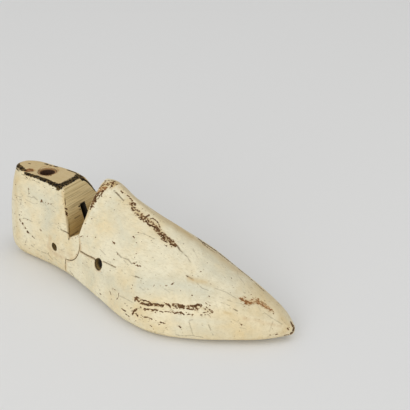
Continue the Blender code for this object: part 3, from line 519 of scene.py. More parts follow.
# %% Strokes seen in the picture: scratches, stains and rubbed places
near_scratches_and_stains = """
scratch:
0.6 0.7 31,245 36,249 42,252 48,254 52,259; 0.5 0.5 53,257 61,263.5;
0.8 1.0 57.6,227.6 62.2,230.6 65,231.6 68.6,233.4; 0.5 0.7 19.8,218.5 24.6,218.3 28.4,219.8 32.2,221.7;
0.5 0.5 42,202 46,205; 0.6 0.7 28,188 28.7,194; 0.6 0.6 28,196 31,197.5 34,197 37,200;
0.6 0.6 19.5,198 21,201 20,205; 0.6 0.6 21,194 22.5,196; 0.9 1.0 114.4,191 116.6,193 119,195.5;
0.7 0.95 119.4,196 123.6,200.6; 0.9 1.0 177.2,245.6 179.8,249.8; 0.6 0.9 179.8,249.8 184,253.8 187.6,257.2;
0.5 0.7 188,258 190.4,262; 0.7 1.0 135.2,276.3 138,277.4 141.6,278.8;
0.7 0.7 116.5,252 120.6,257 128,259.5 131.4,263.7 136.4,262; 0.6 0.7 186.6,275.3 192,278.6;
0.7 0.9 73,219.6 79.6,215.5; 0.7 0.7 71,236 74.5,234 78,231; 0.7 0.8 69.3,224.6 69.4,230 69.8,236;
0.6 0.95 233.5,309 237.4,311; 0.5 0.7 242.6,291.3 245,292.9; 0.5 0.6 208.6,325 213,335;
0.5 0.55 189,322 193,335; 0.5 0.5 102,308 120,319 140,329 165,335; 0.5 0.6 120,296 128,300 133,303;
0.5 0.6 176,334.6 180,336 192,335.6 203,337.4; 0.7 0.9 107.4,307.4 110.5,310 113.6,313;
0.5 0.6 143.6,233.8 149,236 154.4,238.8; 0.5 0.5 197,283 202,288 210,291; 0.5 0.5 215,288 226,292 236,298;
0.5 0.5 264,312 272,318 282,324;
stain:
1.1 0.95 38.4,171 41,167.6 47,165.8 54,166.6 58.8,169.6 57,173 50,175.4 43,174.6 38.4,171;
2.0 0.4 42,171 49,167.4 56,170.6 49,174 42,171; 3.2 0.9 25.6,170 33,170.4;
2.2 0.55 80,243 80.3,250 76,256 70,260 66.5,261.5 65.5,266 66,271; 1.8 0.7 80,251.5 91,257.5 96,260;
1.2 0.5 100,261 116,267; 4.5 0.42 50,238 48,246 52,253 60,256 66,259; 5 0.3 60,252 74,256;
1.4 0.8 69.3,222 69.2,230 69.8,238; 1.6 0.6 40,229.5 41,231; 1.2 0.45 157,213 170,220 185,229 198,237.5;
1.0 0.6 188,277 193,280; 3 0.34 244,318 262,322 280,326;
3.6 0.6 243,299.4 249,302.4 256,301 262,303.6 270,309.6; 1.4 0.7 107,308 118,316.4 128.5,322.4 141,328.6;
2.2 0.5 94.5,262 97,270 100,271;
tan:
3.4 0.85 131,203 134,209 141,216 149,220 157,228 166,238 174,245; 2.4 0.5 134,298 145,303 162,305;
2.4 0.45 172,306 200,307 212,312; 10 1.0 126,188 142,201 158,213 176,225 192,237;
10 0.7 192,237 215,252 238,271; 7 0.72 122,187 135,198 150,210 165,220 185,233;
4.5 0.6 128,200 140,213 152,222 160,234 173,245; 6 1.1 100,188.5 106,184.5 113,182.5;
3.5 0.7 190,278.6 197,281 206,282; 5 0.34 200,281 214,285; 2.5 0.7 225,312.4 230.5,313.6;
6 0.35 236,300 255,300 272,312; 6 0.4 16,172 16,205 17,235; 9 0.75 282,318 289,326 284,332;
3 0.4 214,250 232,262 250,277; 3 0.8 97,192 93,202 88.6,211 84,221;
2.4 0.8 62.4,191.6 64.4,200 66.4,212 68.6,224 69.4,234;
cool:
12 0.95 142,286 160,284 185,286 204,292; 9 0.6 102,276 116,288 130,297; 7 0.6 206,268 232,282;
10 0.75 30,192 44,200 50,214 46,226; 8 0.5 80,262 92,275; 9 0.6 112,206 120,222 124,240;
6 0.6 175,318 205,322 225,322; 7 0.5 232,292 246,308; 9 0.55 180,330 205,332 225,333;
"""
near_marks = near_chips + near_rust_and_soot + near_scratches_and_stains
print("strokes:", {kind: len(strokes) for kind, strokes in marks_of(near_marks).items()})

# %% [markdown]
# ## The marks of the sides that the picture doesn't show
#
# The same hands and the same bag wore these sides, so they get the same kinds of mark: scuffs where the
# ball is widest, knocks on the heel's back, and a rubbed sole. A last's sole also keeps small holes,
# where insoles were tacked to it.

# %% Strokes on the far side, the back and the sole
far_marks = """
chip:
2.6 0.66 14,15 22,13 30,12; 2.8 0.74 33,11 44,12 52,14; 1.2 0.95 36,11.4 42,12; 1.8 0.66 57,13 66,15;
1.5 0.62 22,20 38,18 50,19; 1.0 0.95 24,13 28,12.4; 1.2 0.7 -8,24 2,22; 2.0 0.6 86,19 99,15;
1.5 0.66 104,14 112,11; 1.2 0.8 -29,39 -26,36; 1.2 0.85 -99,56 -97,52; 1.0 0.7 -88,30 -82,28;
1.0 0.85 -118,34 -114,32; 4.5 0.34 15,15 60,16; 1.2 0.8 -36,72 -33,71; 1.2 0.66 -20,66 -14,62;
0.9 0.9 6,48 8,47.6; 0.8 0.9 45,36 46,35.6; 3.5 0.4 -30,68 -10,60 10,52; 1.6 0.6 -128,60 -124,40 -124,20;
scratch:
0.6 0.8 -110,48 -92,44 -80,46; 0.6 0.7 -20,50 4,40; 0.6 0.7 30,44 60,34; 0.6 0.6 -60,22 -30,16;
stain:
4 0.45 -72,22 -70,30; 3.5 0.4 -16,32 -12,36; 2.2 0.7 -46,44 -41,34 -44,26 -56,20 -58,8;
tan:
7 0.45 10,14 40,13 70,15; 6 0.35 -128,30 -122,12; 8 0.3 -20,70 20,56 60,40;
"""
back_marks = """
chip:
1.6 0.8 -6,38 -3,34; 1.2 0.8 12,62 14,59; 2.2 0.7 2,10 12,8; 1.0 0.9 -10,60 -9,58; 3.5 0.42 -8,14 16,12;
scratch:
0.6 0.7 -8,50 4,44 10,46; 0.6 0.7 18,40 12,28;
tan:
7 0.4 -8,12 18,12;
soot:
1.3 0.74 -1,74.7 8,74.9 17,74.5;
"""
sole_marks = """
chip:
4 0.6 20,-28 34,-30 46,-26; 4 0.55 30,18 44,20; 3 0.6 -118,4 -112,12; 3.5 0.55 96,4 110,8;
scratch:
0.7 0.8 -100,-6 -70,4; 0.7 0.8 0,0 40,8; 0.7 0.7 50,-10 90,2;
tan:
30 0.8 -110,9 -60,9 0,4 50,2 100,6;
crack:
"""
tack_holes = ((-112, -4), (-96, -8), (-112, 20), (-94, 24), (-52, 4), (-22, -10), (8, -26), (8, 26),
              (40, -30), (44, 30), (76, -16), (80, 26), (104, 0), (110, 14))
sole_marks += "\n".join(f"0.9 1.0 {x},{y} {x + 0.4},{y};" for x, y in tack_holes)

# %% Lay every stroke on the wood
PATH_STEP = 0.8

paths = {kind: [] for kind in marks_of(near_marks)}
for text, cast in ((near_marks, from_picture), (far_marks, from_far_side), (back_marks, from_behind),
                   (sole_marks, from_below)):
    for kind, strokes in marks_of(text).items():
        paths[kind] += [(float(half), float(strength), path(corners, cast, PATH_STEP))
                        for half, strength, corners in strokes]
print("paths:", {kind: len(found) for kind, found in paths.items()})

# %% [markdown]
# Between the marks that have a story lie hundreds that have none: specks, pits and hairline scratches.
# Chance places them, from a fixed seed, so that they fall in the same places every time.

# %% Small marks by chance
chance = np.random.default_rng(1926)
SPECKS, HAIRLINES, SCUFFS = 820, 170, 40
FOREPART_SHARE = 0.62
STRIDE = 0.5


def wander(count, length, half, strength, kind, straying=0.5):
    """Short strokes on the painted skin, mostly along the last."""
    for _ in range(count):
        piece = list(wood.values())[int(chance.random() > FOREPART_SHARE)]
        painted = np.flatnonzero(piece["depth"] == 0)
        start = painted[int(chance.random() * len(painted))]
        spot, normal = Vector(piece["points"][start]), Vector(piece["normals"][start])
        turn = straying * chance.normal()
        heading = Vector((math.cos(turn), 0.4 * chance.normal(), math.sin(turn)))
        heading = (heading - normal * heading.dot(normal)).normalized()
        steps = max(1, int(chance.uniform(*length) / STRIDE))
        spots = []
        for step in range(steps):
            spots.append(spot[:])
            place, facing, _, _ = skin.find_nearest(spot + heading * STRIDE * MM)
            spot, heading = place, (heading - facing * heading.dot(facing)).normalized()
        paths[kind].append((chance.uniform(*half), chance.uniform(*strength), np.array(spots)))


wander(SPECKS, (0.3, 1.7), (0.35, 0.65), (0.5, 1.0), "chip")
wander(HAIRLINES, (2, 11), (0.35, 0.5), (0.2, 0.55), "scratch", 0.35)
wander(SCUFFS, (2, 8), (0.8, 2.2), (0.1, 0.3), "chip", 0.2)
print("with the small ones:", {kind: len(found) for kind, found in paths.items()})

# %% [markdown]
# ## Brush the marks on
#
# For each kind of mark, every point of the wood gets a value: the stroke's strength over its middle
# half, falling to nothing at its edge. Stains and rubbed places fade all the way from their middle. A
# rough value from fractal noise is then taken off. Where something is left, the paint is gone. That is
# what breaks a smooth stroke up into the crumbs of a real chip, and a weak stroke into a few specks.

# %% Brush
HARD, SOFT = 1.9, 1.0
SOFT_KINDS = ("tan", "stain", "cool")


def brush(points, strokes, edge):
    """The greatest strength that any stroke leaves at each point."""
    value = np.zeros(len(points))
    for half, strength, spots in strokes:
        reach = half * MM
        low, high = spots.min(axis=0) - reach, spots.max(axis=0) + reach
        near = np.flatnonzero(((points > low) & (points < high)).all(axis=1))
        if len(near):
            away = np.sqrt(((points[near, None, :] - spots[None, :, :]) ** 2).sum(axis=2).min(axis=1))
            inward = np.clip(edge * (1 - away / reach), 0, 1)
            value[near] = np.maximum(value[near], strength * inward)
    return value


def rough(points, size, stretch=(1, 1, 1), octaves=3):
    """Fractal noise from about 0 to 1, with lumps of a size in millimetres."""
    scaled = points / (size * MM) / np.array(stretch)
    raw = np.array([noise.fractal(point, 0.7, 2.1, octaves) for point in scaled.tolist()])
    return 0.5 + 0.5 * np.tanh(1.8 * raw)


# Chips have ragged edges about a millimetre across, so the noise that breaks the strokes up is that fine
CRUMB_SIZE, LUMP_SIZE = 1.05, 14
for piece in wood.values():
    piece["fields"] = {kind: brush(piece["points"], strokes, SOFT if kind in SOFT_KINDS else HARD)
                       for kind, strokes in paths.items()}
    piece["crumbs"] = rough(piece["points"], CRUMB_SIZE, (1.5, 1, 0.9))
    piece["lumps"] = rough(piece["points"], LUMP_SIZE, octaves=2)
    reached = {kind: int((field > 0).sum()) for kind, field in piece["fields"].items()}
    print(piece["block"].name, "points under each kind of stroke:", reached)

# %% [markdown]
# ## Bare wood and grime
#
# Some looks belong to a place and not to a blow. The V's faces were sawn after the block was shaped, so
# they never had paint, and only a ragged line of it wraps over their edges. Inside the slot and deeper in
# the bores, the wood is painted nearly black: painted shade over old oil and dust. The bores' mouths still
# show wood. Grime of oil and dust darkens the seam's edges.

# %% Find the bare faces, the grimy ones and the shaded ones
HEEL_TOP = (PLATEAU_Z - 1.2) * MM
LAST_MIDDLE_Y = form_shift[1] * MM
WRAP, NEAR_WRAP = 0.3, 1.9
LOW_WALL, HIGH_WALL = 50, 62
SLOT_HALF = 3.0
SAW_MIDDLE = (-60.5 + form_shift[0], 35.0)
SAW_REACH = 23.4
# How dark the slot's painted shade and grime are, and how dark the seam's grime is
SLOT_GRIME_AND_SHADE, SEAM_GRIME = 0.97, 0.75
BORES = [(np.array(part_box(pin)).mean(axis=0), reach) for pin, reach in
         (("front_hinge_pin", 4.9), ("rear_hinge_pin", 3.9))]
# Past a bore's mouth the wood is painted darker with depth, as painted shade, fully dark at BORE_DARK mm
BORE_MOUTH, BORE_DARK = 1.6, 5.6


def bare_faces(piece, plateau):
    """Sawn wood, from 0 under the paint that wraps over the edges to 1."""
    _, y, z = (piece["points"] / MM).T
    depth = piece["depth"]
    low_wall = 1 - smooth_step(LOW_WALL, HIGH_WALL, z)
    wrap = WRAP + NEAR_WRAP * low_wall * (y < 0) * (z > NOTCH_Z - 8)
    bare = smooth_step(-0.3, 0.3, depth - wrap - 0.9 * (piece["crumbs"] - 0.5)) * (depth > 0)
    bare[plateau] = 0
    return bare


def grime_and_shade_in(piece):
    """Painted shade over grime fills the slot and the bores beyond their mouths, and grime darkens the seam's
    edges.
    """
    points, depth = piece["points"], piece["depth"]
    x, _, z = (points / MM).T
    inside_slot = (np.abs(points[:, 1] - LAST_MIDDLE_Y) < SLOT_HALF * MM) & (depth > 0.8)
    sawn_out = np.hypot(x - SAW_MIDDLE[0], z - SAW_MIDDLE[1]) < SAW_REACH
    inside_slot &= sawn_out if piece["block"] is blocks[1] else z < NOTCH_Z
    # The slot is painted near black: painted shade over grime
    grime_and_shade = SLOT_GRIME_AND_SHADE * inside_slot
    for bore, reach in BORES:
        away = np.hypot(points[:, 0] - bore[0], points[:, 2] - bore[2]) / MM
        # Painted shade: the bores are painted darker the deeper they go
        grime_and_shade = np.maximum(grime_and_shade, (away < reach) * smooth_step(BORE_MOUTH, BORE_DARK, depth))
    # Grime darkens the seam's edges
    seam = (z < NOTCH_Z - 7) & (depth > 0)
    return np.maximum(grime_and_shade, SEAM_GRIME * seam * (1 - smooth_step(1.0, 3.0, depth)))


for piece in wood.values():
    on_top = (piece["points"][:, 2] > HEEL_TOP) & (piece["normals"][:, 2] > 0.7)
    piece["plateau"] = (piece["depth"] > 0) & on_top
    piece["bare"] = bare_faces(piece, piece["plateau"])
    piece["grime_and_shade"] = grime_and_shade_in(piece)
    shares = {name: f"{piece[name].mean():.1%}" for name in ("bare", "grime_and_shade")}
    print(piece["block"].name, "shares of its points:", shares)

# %% [markdown]
# Now the strokes become marks. The stored value is a margin: above a half the paint is gone, and the
# shader may still nibble at its edge. A convex corner, which sticks out from the middle of the wood
# around it, wears through by itself wherever nothing shelters it.

# %% Turn the strokes into marks
CHIP_BITE, CHIP_BREAK = 0.18, 0.95
SOOT_BITE, SOOT_BREAK = 0.15, 0.8
WORN_CORNER, TAN_CORNER = 0.62, 0.55
CORNER_FROM, CORNER_TO = 0.12, 0.45
HINGE_END = -10
TAN_TOE, TAN_UNDER, TAN_TOP = 0.3, 0.25, 0.95


def left_over(field, bite, breaking, crumbs, least=0):
    """What is left of a stroke once a steady bite and the crumbs are taken off, or -1 outside it."""
    return np.where(field > least, field - bite - breaking * crumbs, -1)


for piece in wood.values():
    points, fields, bare, crumbs = (piece[name] for name in ("points", "fields", "bare", "crumbs"))
    x, _, z = (points / MM).T
    around = soften(points, piece["edges"], np.full(len(points), 0.5), 12)
    corner_out = ((points - around) * piece["normals"]).sum(axis=1) / MM
    corner_wear = smooth_step(CORNER_FROM, CORNER_TO, corner_out) * (bare < 0.5)
    sheltered = (1 - smooth_step(NOTCH_Z - 4, NOTCH_Z + 4, z)) * (x < HINGE_END)
    worn_corner = WORN_CORNER * (1 - sheltered) * corner_wear * smooth_step(0.35, 0.8, piece["lumps"])

    struck = np.maximum.reduce([fields["chip"], fields["rust"], worn_corner])
    gone = np.clip(0.5 + left_over(struck, CHIP_BITE, CHIP_BREAK, crumbs, 0.02), 0, 1)
    soot = np.clip(0.5 + left_over(fields["soot"], SOOT_BITE, SOOT_BREAK, crumbs), 0, 1)
    crack = smooth_step(0.1, 0.5, fields["crack"])
    line = np.maximum(fields["scratch"] * smooth_step(0.15, 0.5, rough(points, 2.5) + 0.1), crack)
    tan = np.maximum.reduce([
        fields["tan"], TAN_TOE * smooth_step(60, 130, x), TAN_UNDER * (1 - smooth_step(1.5, 7, z)),
        TAN_TOP * piece["plateau"], TAN_CORNER * corner_wear,
    ])
    piece["crack"] = crack
    piece["marks"] = dict(
        gone=gone, soot=soot, bare=bare, line=line, stain=fields["stain"], tan=tan, cool=fields["cool"],
        rusty=smooth_step(0.05, 0.3, fields["rust"]), grime_and_shade=piece["grime_and_shade"],
    )
    print(piece["block"].name, "paint gone from", f"{(gone > 0.5).mean():.1%}", "of its points")

# %% [markdown]
# ## Carve the marks
#
# Old oil paint is a few coats thick, about a quarter of a millimetre, so a chip has a real edge that
# catches the light. A crack is deeper. The V's faces keep the ridges that the saw left, straight across
# the last. Every point moves inwards only, so the blocks stay inside their solids' outline.

# %% Carve
PAINT_THICK = 0.28
SOOT_DEEP = 0.3
CRACK_DEEP = 0.9
LINE_DEEP = 0.14
SAW_RIDGE, SAW_PITCH, SAW_TILT = 0.16, 1.0, 0.12
RASPED, RASP_SIZE = 0.22, 16

for piece in wood.values():
    points, marks, crumbs = piece["points"], piece["marks"], piece["crumbs"]
    chipped = smooth_step(0.42, 0.6, marks["gone"])
    deep = PAINT_THICK * chipped * (0.7 + 0.7 * crumbs)
    deep += SOOT_DEEP * smooth_step(0.4, 0.7, marks["soot"]) * (1 - chipped) * crumbs
    deep = np.maximum(deep, CRACK_DEEP * piece["crack"])
    deep += LINE_DEEP * np.minimum(marks["line"], 1)
    sawn = smooth_step(0.6, 1.6, piece["depth"]) * (points[:, 2] > (NOTCH_Z - 7) * MM)
    tilted = points @ np.array([[1, 0, 0], [0, 1, SAW_TILT], [0, 0, 1]])
    deep += SAW_RIDGE * sawn * (marks["bare"] > 0.5) * rough(tilted, SAW_PITCH, (1, 40, 1), 2)
    # Hand rasping left the painted skin very slightly uneven
    deep += RASPED * rough(points, RASP_SIZE, octaves=2) * (piece["depth"] == 0)
    carved = points - piece["normals"] * deep[:, None] * MM
    mesh = piece["block"].data
    mesh.vertices.foreach_set("co", carved.ravel())
    for name, values in marks.items():
        layer = mesh.attributes.new(name, "FLOAT", "POINT")
        layer.data.foreach_set("value", np.clip(values, 0, 1).astype(np.float32))
    mesh.update()
    mesh.shade_smooth()
    print(piece["block"].name, "carved up to", round(deep.max(), 2), "mm deep")

# %% Hang the blocks on their bodies
for block, node, body in ((blocks[0], "forepart", "forepart"), (blocks[1], "heel_block", "heel")):
    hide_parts(node)
    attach(block, body)
    print(block.name, "stands in for", node, "and rides", body)

# %% [markdown]
# ## Colours and nodes
#
# Colours are written as a paint shop would, as sRGB hex. Shaders add and multiply light, so they want
# linear values, and one function turns the first into the second. Another adds one node with its
# settings and its links, which keeps each material readable from its first texture to its shader.

# %% Helpers for materials
def linear(colour):
    """An sRGB hex colour, such as #E4DABC, as linear RGBA."""
    parts = [int(colour[i:i + 2], 16) / 255 for i in (1, 3, 5)]
    return (*[c / 12.92 if c <= 0.04045 else ((c + 0.055) / 1.055) ** 2.4 for c in parts], 1.0)


def fill(tree, node, inputs):
    """Sets a node's inputs. Each is a value, a hex colour, or an output to link from."""
    sockets = [socket for socket in node.inputs if socket.enabled]
    for key, value in inputs.items():
        found = sockets[key] if isinstance(key, int) else next(s for s in sockets if s.name == key)
        if isinstance(value, bpy.types.NodeSocket):
            tree.links.new(value, found)
        else:
            found.default_value = linear(value) if isinstance(value, str) else value


def add(tree, kind, inputs=(), settings=(), gives=0):
    """Adds one node with its settings and links, and returns one of its outputs."""
    node = tree.nodes.new("ShaderNode" + kind)
    for field, value in dict(settings).items():
        setattr(node, field, value)
    fill(tree, node, dict(inputs))
    return [socket for socket in node.outputs if socket.enabled][gives]


def finish(name):
    """A new material: itself, its tree, its shader, and the places on the object for its textures."""
    material = bpy.data.materials.new(name)
    material.use_nodes = True
    tree = material.node_tree
    return material, tree, tree.nodes["Principled BSDF"], add(tree, "TexCoord", gives=3)


def per(millimetres):
    """The scale that gives a texture lumps of this size."""
    return 1 / (millimetres * MM)


COLOUR = {"data_type": "RGBA"}
GLAZE = {"data_type": "RGBA", "blend_type": "MULTIPLY"}
SMOOTH = {"interpolation_type": "SMOOTHSTEP"}
SUM, CLAMPED_SUM = {"operation": "ADD"}, {"operation": "ADD", "use_clamp": True}
PRODUCT, CLAMPED_PRODUCT = {"operation": "MULTIPLY"}, {"operation": "MULTIPLY", "use_clamp": True}
GREATER = {"operation": "MAXIMUM"}
SCALE_AND_SUM = {"operation": "MULTIPLY_ADD"}
print("mid grey in linear light:", [round(part, 3) for part in linear("#808080")])

# %% [markdown]
# ## Old cream oil paint on beech
#
# The real finish is lead-and-oil paint, brushed on by hand over a beech or maple block. A century of
# light and shoe polish turned it from white to ivory, with butter-yellow patches where the oil is thick
# and greyer ones where it is thin. It has a soft eggshell gloss: an index of refraction near 1.5, as all
# oil films have, and a roughness about 0.55 where it is whole. Where it is gone, the wood is dark from
# old polish and quite dull. The V's faces never had paint: they are sawn beech, gone olive with dust.
#
# The brushed marks come in through attributes. Noise far finer than the mesh then nibbles their edges,
# so a chip stays crisp when the camera comes close.

# %% Paint: marks and textures
paint, tree, shader, here = finish("old_cream_oil_paint_on_beech")
mark = {name: add(tree, "Attribute", settings={"attribute_name": name}, gives=2)
        for name in ("gone", "soot", "bare", "line", "stain", "tan", "cool", "rusty", "grime_and_shade")}

# Brush lines and wood fibres run along the last. The saw went across it, a little off level
brushed = add(tree, "Mapping", {"Vector": here, "Scale": (0.3, 1, 1)})
fibres = add(tree, "Mapping", {"Vector": here, "Scale": (0.2, 1, 1)})
SAW_ANGLE = math.radians(-7)
across = add(tree, "Mapping", {"Vector": here, "Rotation": (SAW_ANGLE, 0, 0), "Scale": (1, 0.02, 1)})

# Each texture: the size of its lumps in millimetres, its detail, roughness and direction, then the two
# values that it is read between, and what those two become
textures = {
    "patches": (32, 3, 0.6, here, 0.42, 0.66, 0, 1),
    "clouds": (17, 4, 0.65, here, 0.52, 0.7, 0, 0.8),
    "blots": (5, 5, 0.65, here, 0.3, 0.7, 1.05, 0.94),
    "dust": (1.1, 4, 0.7, brushed, 0.5, 0.78, 0, 0.7),
    "fly_specks": (1.9, 2, 0.5, here, 0.68, 0.76, 0, 0.55),
    "brush_lines": (0.7, 3, 0.5, brushed, 0, 1, 0.92, 1.06),
    "nibble": (0.6, 3, 0.7, brushed, 0.25, 0.75, -0.2, 0.2),
    "fibre": (1.3, 4, 0.7, fibres, 0.36, 0.66, 0, 0.6),
    "soot_blotch": (2.4, 4, 0.7, here, 0.46, 0.64, 0, 1),
    "saw_bands": (1.3, 3, 0.6, across, 0.35, 0.65, 0, 1),
    "saw_lines": (0.7, 3, 0.55, across, 0.54, 0.62, 0, 0.46),
}
grain, share = {}, {}
for name, (size, detail, roughness, direction, low, high, start, stop) in textures.items():
    lumpy = {"Vector": direction, "Scale": per(size), "Detail": detail, "Roughness": roughness}
    grain[name] = add(tree, "TexNoise", lumpy)
    spread = {"From Min": low, "From Max": high, "To Min": start, "To Max": stop}
    share[name] = add(tree, "MapRange", {"Value": grain[name], **spread})
print("textures, with their lumps in millimetres:", {name: row[0] for name, row in textures.items()})

# %% Paint: rubbed, stained and scratched
RUBBED, RUBBED_DUSTY = "#DCC592", "#C0A470"

rub = add(tree, "MapRange", {"Value": grain["blots"], "To Min": -0.3, "To Max": 0.3})
rub = add(tree, "Math", {0: mark["tan"], 1: rub}, CLAMPED_SUM)
rub = add(tree, "Math", {0: rub, 1: mark["tan"]}, PRODUCT)
rub = add(tree, "Math", {0: rub, 1: 0.5}, {"operation": "POWER", "use_clamp": True})
rubbed = add(tree, "Mix", {"Factor": grain["dust"], "A": RUBBED, "B": RUBBED_DUSTY}, COLOUR)
soak = add(tree, "Math", {0: mark["stain"], 1: grain["blots"]}, PRODUCT)
soak = add(tree, "MapRange", {"Value": soak, "From Min": 0.05, "From Max": 0.6})
dirt_line = add(tree, "Math", {0: mark["line"], 1: 0.9}, CLAMPED_PRODUCT)
print("with rubbed paint, stains and dirt:", len(tree.nodes), "nodes")

# %% Paint: one layer over another
IVORY, BUTTER, GREYED, COOL = "#E8DFC1", "#E1CEA2", "#D8D2B6", "#D6D2BA"
DUST, FLY_SPECK, RUST_STAIN, DIRT = "#C2B48C", "#94825A", "#B48443", "#6B5836"

cream = IVORY
for factor, over, how in (
    (share["patches"], BUTTER, COLOUR),
    (share["clouds"], GREYED, COLOUR),
    (mark["cool"], COOL, COLOUR),
    (1.0, share["blots"], GLAZE),
    (share["dust"], DUST, COLOUR),
    (share["fly_specks"], FLY_SPECK, COLOUR),
    (1.0, share["brush_lines"], GLAZE),
    (rub, rubbed, COLOUR),
    (soak, RUST_STAIN, COLOUR),
    (dirt_line, DIRT, COLOUR),
):
    cream = add(tree, "Mix", {"Factor": factor, "A": cream, "B": over}, how)
print("with the layers of cream paint:", len(tree.nodes), "nodes")

# %% Dark wood under the chips, and the blackened edges
OLD_WOOD, OLD_WOOD_RUBBED = "#38210F", "#94704A"
RUST_WOOD, RUST_WOOD_RUBBED = "#643A20", "#BC8E5A"
SOOT, SOOT_RUBBED = "#120B05", "#6F5A34"

margin = add(tree, "Math", {0: mark["gone"], 1: share["nibble"]}, SUM)
gone = add(tree, "MapRange", {"Value": margin, "From Min": 0.4, "From Max": 0.6}, SMOOTH)
# A chip is darkest in its middle. Towards its edge the wood is paler, where hands have rubbed it
chip_edge = {"Value": margin, "From Min": 0.5, "From Max": 0.8, "To Min": 0.55, "To Max": 0}
wood_share = add(tree, "Math", {0: share["fibre"], 1: add(tree, "MapRange", chip_edge)}, CLAMPED_SUM)
old_wood = add(tree, "Mix", {"Factor": wood_share, "A": OLD_WOOD, "B": OLD_WOOD_RUBBED}, COLOUR)
rust_wood = add(tree, "Mix", {"Factor": wood_share, "A": RUST_WOOD, "B": RUST_WOOD_RUBBED}, COLOUR)
old_wood = add(tree, "Mix", {"Factor": mark["rusty"], "A": old_wood, "B": rust_wood}, COLOUR)
sooty = add(tree, "Math", {0: mark["soot"], 1: share["nibble"]}, SUM)
sooty = add(tree, "MapRange", {"Value": sooty, "From Min": 0.3, "From Max": 0.7}, SMOOTH)
soot = add(tree, "Mix", {"Factor": share["soot_blotch"], "A": SOOT, "B": SOOT_RUBBED}, COLOUR)
print("with the chips' wood and the soot:", len(tree.nodes), "nodes")

# %% Sawn beech on the V's faces
SAWN, SAWN_PALE, SAWN_SHADED = "#CBB480", "#E0CD9E", "#D2C29E"
SAW_LINE, SAWN_STAIN, SAWN_DIRT = "#6A5630", "#80602C", "#4A3A1E"
# Painted shade: the sawn faces are glazed darker from LOW_FROM down to LOW_TO, towards the V's foot
LOW_FROM, LOW_TO = 64 * MM, 42 * MM

above = add(tree, "SeparateXYZ", {"Vector": here}, gives=2)
# How far down the V each point lies, for the painted shade at its foot
shade_towards_v_foot = add(tree, "MapRange", {"Value": above, "From Min": LOW_FROM, "From Max": LOW_TO}, SMOOTH)
sawn = add(tree, "Mix", {"Factor": share["saw_bands"], "A": SAWN, "B": SAWN_PALE}, COLOUR)
for factor, over, how in (
    (shade_towards_v_foot, SAWN_SHADED, GLAZE),
    (share["saw_lines"], SAW_LINE, COLOUR),
    (soak, SAWN_STAIN, COLOUR),
    (dirt_line, SAWN_DIRT, COLOUR),
):
    sawn = add(tree, "Mix", {"Factor": factor, "A": sawn, "B": over}, how)
print("with the sawn faces:", len(tree.nodes), "nodes")

# %% Put the layers together
# The near black of the painted shade in the slot and bores, and of the grime on the seam
GRIME_AND_SHADE = "#1A130B"
OIL_FILM_IOR = 1.5
PAINT_SMOOTHEST, PAINT_ROUGHEST, WOOD_ROUGH = 0.45, 0.65, 0.82
PAINT_SHINE, PORE_SHINE = 0.5, 0.12

colour = cream
for factor, over in ((mark["bare"], sawn), (gone, old_wood), (sooty, soot), (mark["grime_and_shade"], GRIME_AND_SHADE)):
    colour = add(tree, "Mix", {"Factor": factor, "A": colour, "B": over}, COLOUR)

dull = add(tree, "Math", {0: gone, 1: mark["bare"]}, GREATER)
dull = add(tree, "Math", {0: dull, 1: sooty}, GREATER)
paint_gloss = {"Value": grain["blots"], "To Min": PAINT_SMOOTHEST, "To Max": PAINT_ROUGHEST}
paint_gloss = add(tree, "MapRange", paint_gloss)
gloss = add(tree, "Mix", {"Factor": dull, "A": paint_gloss, "B": WOOD_ROUGH}, {"data_type": "FLOAT"})
# Soot and open wood are full of holes that swallow light, so they hardly shine at all
open_pores = add(tree, "Math", {0: gone, 1: sooty}, GREATER)
shine = add(tree, "MapRange", {"Value": open_pores, "To Min": PAINT_SHINE, "To Max": PORE_SHINE})
# Whole paint stands proud of the chips, and the brush and the fibres leave a finer relief
raised = add(tree, "Math", {0: gone, 1: -1.0, 2: 1.0}, SCALE_AND_SUM)
raised = add(tree, "Math", {0: grain["brush_lines"], 1: 0.25, 2: raised}, SCALE_AND_SUM)
raised = add(tree, "Math", {0: grain["fibre"], 1: 0.3, 2: raised}, SCALE_AND_SUM)
relief = add(tree, "Bump", {"Strength": 0.5, "Distance": 0.15 * MM, "Height": raised})
fill(tree, shader, {"Base Color": colour, "Roughness": gloss, "IOR": OIL_FILM_IOR,
                    "Specular IOR Level": shine, "Normal": relief})
for block in blocks:
    block.data.materials.clear()
    block.data.materials.append(paint)
print("paint has", len(tree.nodes), "nodes")

# %% [markdown]
# ## Steel
#
# Three steel finishes sit in the wood. The thimble in the jack-pin hole is a drawn tube that has rusted
# through its years on an iron jack: rust is an oxide and no metal, so its colour is brown and its
# metallic value is low. Its rim has rubbed off on the wood around it. The pins, link and seat are mild
# steel gone dark, and the spring is oil-blackened wire. A metal's roughness carries its story: about
# 0.35 where it slides, 0.7 and more where it only lay in the damp.

# %% Rusted drawn steel of the thimble
RUST_DARK, RUST, RUST_PIT = "#3A2216", "#7E5230", "#20130C"
RIM_DARK, RIM_PALE = "#6A4224", "#C49C66"
RIM_LOW, RIM_HIGH = 73.4 * MM, 74.6 * MM

